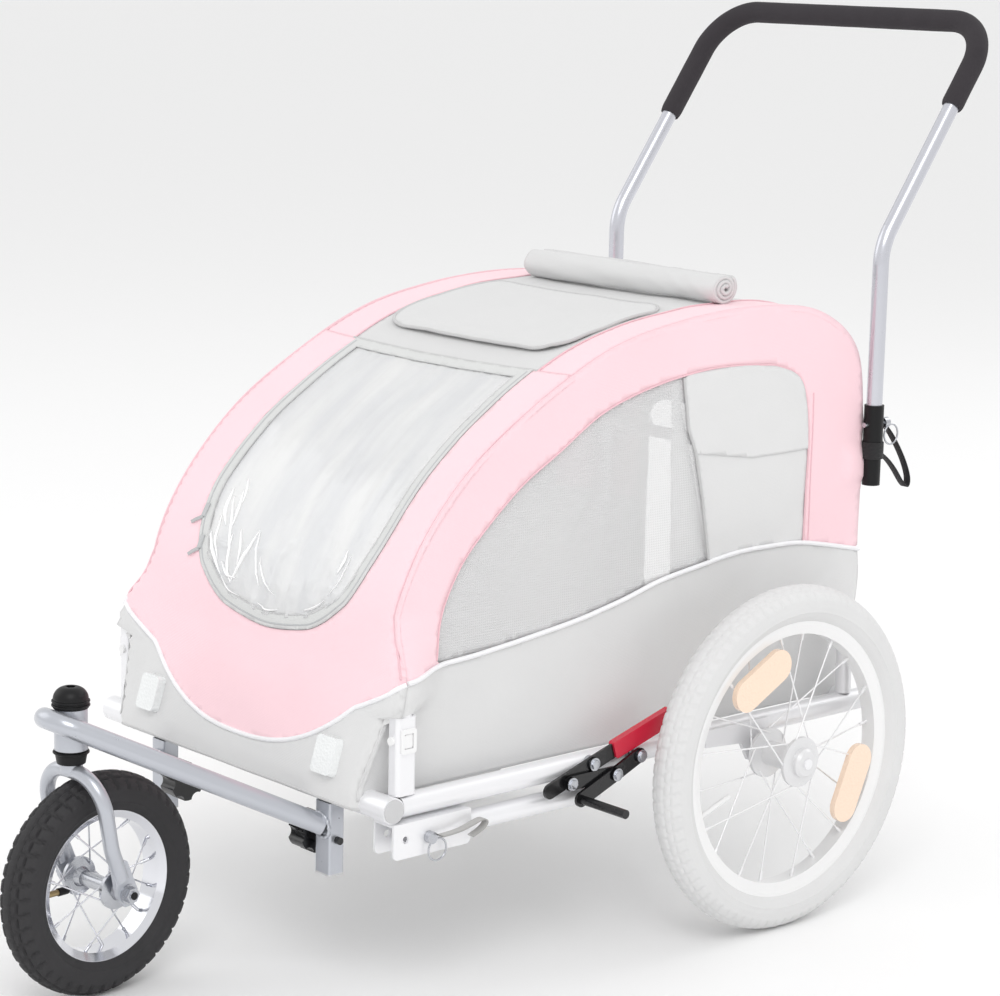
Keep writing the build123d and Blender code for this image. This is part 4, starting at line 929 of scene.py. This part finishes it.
def make_tyre(name, body, node, slot, material, centre, radius, half, seat, blocks, groove, turned=False):
    """A tyre with a ribbed crown and slanted shoulder blocks, turned about its axle."""
    reach, core = pi * 0.83, radius - half - 1.4
    section = [(t, half * sin(t), core + half * cos(t)) for t in np.linspace(-reach, reach, 61)]
    per_block = 8
    count = blocks * per_block
    points, flat = [], []
    for i in range(count):
        turn = 2 * pi * i / count
        for t, across, out in section:
            width = abs(t) / pi
            phase = (i / per_block + 0.9 * width * (1 if t > 0 else -1) + (0.5 if t > 0 else 0.0)) % 1.0
            deep = 0.0
            if 0.11 < width < 0.36:
                deep = groove if phase < 0.26 else 0.0
            if 0.075 < width < 0.105 or 0.185 < width < 0.205:
                deep = groove
            if width <= 0.075 and (i // 2) % 4 == 0:
                deep = groove * 0.7
            lift = 1.4 if width < 0.37 else 1.4 * max(0.0, 1 - (width - 0.37) / 0.06)
            lift += 0.7 if 0.56 < width < 0.60 else 0.0
            away = lift - deep
            x = across + away * sin(t)
            r = max(out + away * cos(t), seat - 7)
            points.append((x, r * cos(turn), r * sin(turn)))
            flat.append((t * half, turn * radius))
    width = len(section)
    faces = []
    for i in range(count):
        j = (i + 1) % count
        for k in range(width - 1):
            faces.append((i * width + k, j * width + k, j * width + k + 1, i * width + k + 1))
        faces.append((i * width + width - 1, j * width + width - 1, j * width, i * width))
    points = np.array(points) + np.array(centre)
    if turned:
        points = steered(points)
    tyre = mesh_piece(name, body, slot, material, points, faces, flat, sharp=40)
    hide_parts(node)


FRONT_CENTRE = (0.0, -512.5, 121.0)
make_tyre("front_tyre_tread", "front_wheel", "front_tyre", "front_tyre", BLACK_TYRE,
          FRONT_CENTRE, 121.0, 23.0, 88.0, 44, 2.0, turned=True)  # fmt: skip
for name, side in SIDES.items():
    make_tyre(f"{name}_tyre_tread", f"{name}_wheel", f"{name}_tyre", "pale_tyre", PALE_TYRE,
              (side * 301.0, 216.0, 200.0), 200.0, 21.5, 163.0, 84, 1.1)  # fmt: skip

# -------- push handle's foam
HANDLE_X, HANDLE_Y, ELBOW_Z, BAR_Y, BAR_Z, BEND = 223.5, 435.0, 765.0, 619.0, 1022.0, 62.0
FOAM_R, FOAM_LEFT, FOAM_RIGHT = 13.4, 121.0, 163.0


def make_foam():
    slope = Vector((0, BAR_Y - HANDLE_Y, BAR_Z - ELBOW_Z)).normalized()
    line = []
    for side, reach in ((1, FOAM_LEFT), (-1, FOAM_RIGHT)):
        corner = Vector((side * HANDLE_X, BAR_Y, BAR_Z))
        foot = corner - slope * reach
        start = corner - slope * BEND
        centre = start + Vector((-side * BEND, 0, 0))
        half = [foot + (start - foot) * t for t in np.linspace(0, 1, 22, endpoint=False)]
        outward = Vector((side, 0, 0))
        half += [centre + BEND * (outward * cos(a) + slope * sin(a)) for a in np.linspace(0, pi / 2, 24)]
        line += [tuple(p) for p in (half if side > 0 else reversed(half))]
        if side > 0:
            line += [(x, BAR_Y, BAR_Z) for x in np.linspace(HANDLE_X - BEND, -HANDLE_X + BEND, 60)[1:-1]]
    line = np.array(line)
    scale = []
    for i in range(len(line)):
        end = min(i, len(line) - 1 - i)
        size = 0.90 if end == 0 else 0.97 if end == 1 else 1.0
        scale.append(size + 0.012 * noise.noise(Vector(line[i]) / 23))
    grip = tube("foam_grip", "chassis", "foam", FOAM, line, FOAM_R, sides=28, scale=scale)
    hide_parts("handle_grip")


make_foam()


# -------- small metal and webbing details
def hex_head(centre, axis, radius, height):
    """A hexagon bolt head with a washer under it, standing along an axis."""
    axis, at = np.array(axis, float), np.array(centre, float)
    washer = sweep([at, at + axis * height * 0.25], ring(radius * 1.3, 24))
    levels = [at + axis * height * share for share in (0.25, 0.9, 1.0)]
    head = sweep(levels, ring(radius, 6), scale=[1.0, 1.0, 0.86])
    return merged([washer, head])


BRAKE_HEADS = {  # y, z, x of the face each stands on, body
    "lever_pivot": (-48.0, 230.0, 266.2, "chassis"),
    "arm_pivot": (16.0, 230.0, 273.7, "chassis"),
    "lever_end": (-84.0, 215.0, 270.0, "lever"),
    "arm_joint": (-20.0, 215.0, 273.5, "shoe"),
}
for name, side in SIDES.items():
    for label, (y, z, x, body) in BRAKE_HEADS.items():
        rides = body if body == "chassis" else f"{name}_{body}"
        head = hex_head((side * x, y, z), (side, 0, 0), 5.6, 3.4)
        mesh_piece(f"{name}_{label}_bolt", rides, "zinc", ZINC, *head, sharp=30)

ARM_START, ARM_R, LEG_X, ARM_RISE = (-331.0, 187.0), 11.0, 150.0, radians(26.9)


def make_welds():
    """The weld beads where the front arm's tube meets its two legs."""
    nose = (ARM_START[0] - STEER_Y) / cos(ARM_RISE) + 28.7
    parts = []
    for side in SIDES.values():
        foot = np.array([side * LEG_X, *ARM_START])
        tip_y, tip_z = ARM_START[0] - nose * cos(ARM_RISE), ARM_START[1] + nose * sin(ARM_RISE)
        tip = np.array([side * 18.5, tip_y, tip_z])
        ahead = (tip - foot) / np.linalg.norm(tip - foot)
        first = np.cross(ahead, [0, 0, 1])
        first /= np.linalg.norm(first)
        second = np.cross(ahead, first)
        line, scale = [], []
        for k in range(48):
            t = 2 * pi * k / 48
            point = foot + (ARM_R + 0.4) * (first * cos(t) + second * sin(t))
            line.append(point + ahead * ((ARM_START[0] - 1.6 - point[1]) / ahead[1]))
            scale.append(1.0 + 0.22 * sin(k * 2 * pi / 4))
        parts.append(sweep(line, ring(2.2, 8), closed=True, scale=scale))
    mesh_piece("arm_welds", "chassis", "arm_paint", ARM_PAINT, *merged(parts), sharp=60)


make_welds()
# The height and radius of each moulded ring on the head tube's caps.
HEAD_RINGS = {"cap_ring": (321.2, 19.0), "cap_lip": (325.6, 18.9), "collar_ring": (271.0, 18.0)}
for label, (z, r) in HEAD_RINGS.items():
    line = [(r * cos(t), STEER_Y + r * sin(t), z) for t in np.linspace(0, 2 * pi, 48, endpoint=False)]
    tube(label, "chassis", "dark_plastic", DARK_PLASTIC, line, 1.3, closed=True, sides=8)

WRAP_R, WRAP_Z, WRAP_WIDTH = 12.6, 522.0, 20


def make_handle_wraps():
    """The webbing turned round each handle sleeve, that its tether is sewn to."""
    for name, side in SIDES.items():
        line = [(side * HANDLE_X + WRAP_R * cos(t), HANDLE_Y + WRAP_R * sin(t), WRAP_Z)
                for t in np.linspace(0, 2 * pi, 40, endpoint=False)]  # fmt: skip
        made = sweep(line, flat_section(WRAP_WIDTH, WEB_THICK), across=(0, 0, 1), closed=True)
        mesh_piece(f"{name}_sleeve_wrap", "chassis", "webbing", WEB_BLACK, *made)


make_handle_wraps()


def make_valve():
    """The front tyre's valve: a brass stem with a black cap, pointing at the hub."""
    at, away = np.array([0.0, -584.0, 122.0]), np.array([0.0, 1.0, 0.0])
    stem = sweep([at, at + away * 20], ring(3.3, 16))
    cap = sweep([at + away * 19, at + away * 31, at + away * 33], ring(4.3, 16), scale=[1, 1, 0.7])
    looks = {"stem": (stem, "zinc", BRASS), "cap": (cap, "dark_plastic", DARK_PLASTIC)}
    for label, ((points, faces, flat), slot, material) in looks.items():
        mesh_piece(f"front_valve_{label}", "front_wheel", slot, material, steered(points), faces, flat)


make_valve()


AXLE_END_X = 60.9


def make_axle_ends():
    """A thin dark disc on each end of the front axle: painted shade standing for the hollow in the axle's end.
    """
    parts = []
    for side in SIDES.values():
        at = np.array([side * AXLE_END_X, *FRONT_CENTRE[1:]])
        points, faces, flat = sweep([at, at + [side * 0.8, 0, 0]], ring(4.2, 20))
        parts.append((steered(points), faces, flat))
    mesh_piece("front_axle_hollow_shade", "fork", "dark_plastic", DARK_PLASTIC, *merged(parts))


make_axle_ends()

# -------- materials of the CAD nodes that stay
DRESS = {
    FRAME: ["side_rails", "cross_tubes", "front_posts", "side_hoops", "axle_brackets", "tow_channel",
            "tow_arm"],
    FRAME_PLASTIC: ["post_clasps"],
    DARK_PLASTIC: ["head_caps", "handle_sleeves"],
    PALE_CAP: ["tube_end_caps"],
    ARM_PAINT: ["arm_hoop", "arm_legs", "head_tube", "fork"],
    CHROME: ["front_rim", "front_spokes"],
    ZINC: ["front_axle", "front_hub", "brake_mounts", "tow_pin", "left_handle_pin", "right_handle_pin"],
    HANDLE_PAINT: ["handle_tube"],
    PALE_RIM: ["left_rim", "right_rim"],
    PALE_SPOKE: ["left_spokes", "right_spokes"],
    PALE_HUB: ["left_hub", "right_hub"],
    AMBER: ["left_reflectors", "right_reflectors"],
    CLEAR: ["front_reflectors"],
    BLACK_GLOSS: [f"{s}_{n}" for s in SIDES for n in ("star_knob", "brake_lever", "brake_link", "brake_arm")],
    RED_GRIP: ["left_brake_grip", "right_brake_grip"],
    FLOOR_CLOTH: ["floor_panel"],
}
for material, nodes in DRESS.items():
    for node in nodes:
        for slot in NODES[node].material_slots:
            slot.material = material


# -------- floor and light
def make_stage():
    size = 60.0
    mesh = bpy.data.meshes.new("studio_floor")
    corners = [(-size, -size, 0), (size, -size, 0), (size, size, 0), (-size, size, 0)]
    mesh.from_pydata(corners, [], [(0, 1, 2, 3)])
    mesh.materials.append(STAGE)
    floor = bpy.data.objects.new("studio_floor", mesh)
    bpy.context.scene.collection.objects.link(floor)


def add_light(name, place, aim, size, power):
    data = bpy.data.lights.new(name, "AREA")
    data.energy, data.size = power, size
    light = bpy.data.objects.new(name, data)
    bpy.context.scene.collection.objects.link(light)
    light.location = place
    light.rotation_mode = "QUATERNION"
    light.rotation_quaternion = (Vector(aim) - Vector(place)).to_track_quat("-Z", "Y")


make_stage()
add_light("key", (3.0, -2.6, 4.2), (0, 0, 0.4), 2.6, 74)
add_light("fill", (-3.6, -2.4, 2.6), (0, 0, 0.5), 3.0, 22)
add_light("back", (0.5, 4.0, 3.2), (0, 0, 0.6), 2.6, 26)
world = bpy.data.worlds.new("studio")
bpy.context.scene.world = world
world.use_nodes = True
world.node_tree.nodes["Background"].inputs["Color"].default_value = (1.0, 1.0, 1.0, 1.0)
world.node_tree.nodes["Background"].inputs["Strength"].default_value = 0.88
bpy.context.scene.view_settings.view_transform = "Standard"
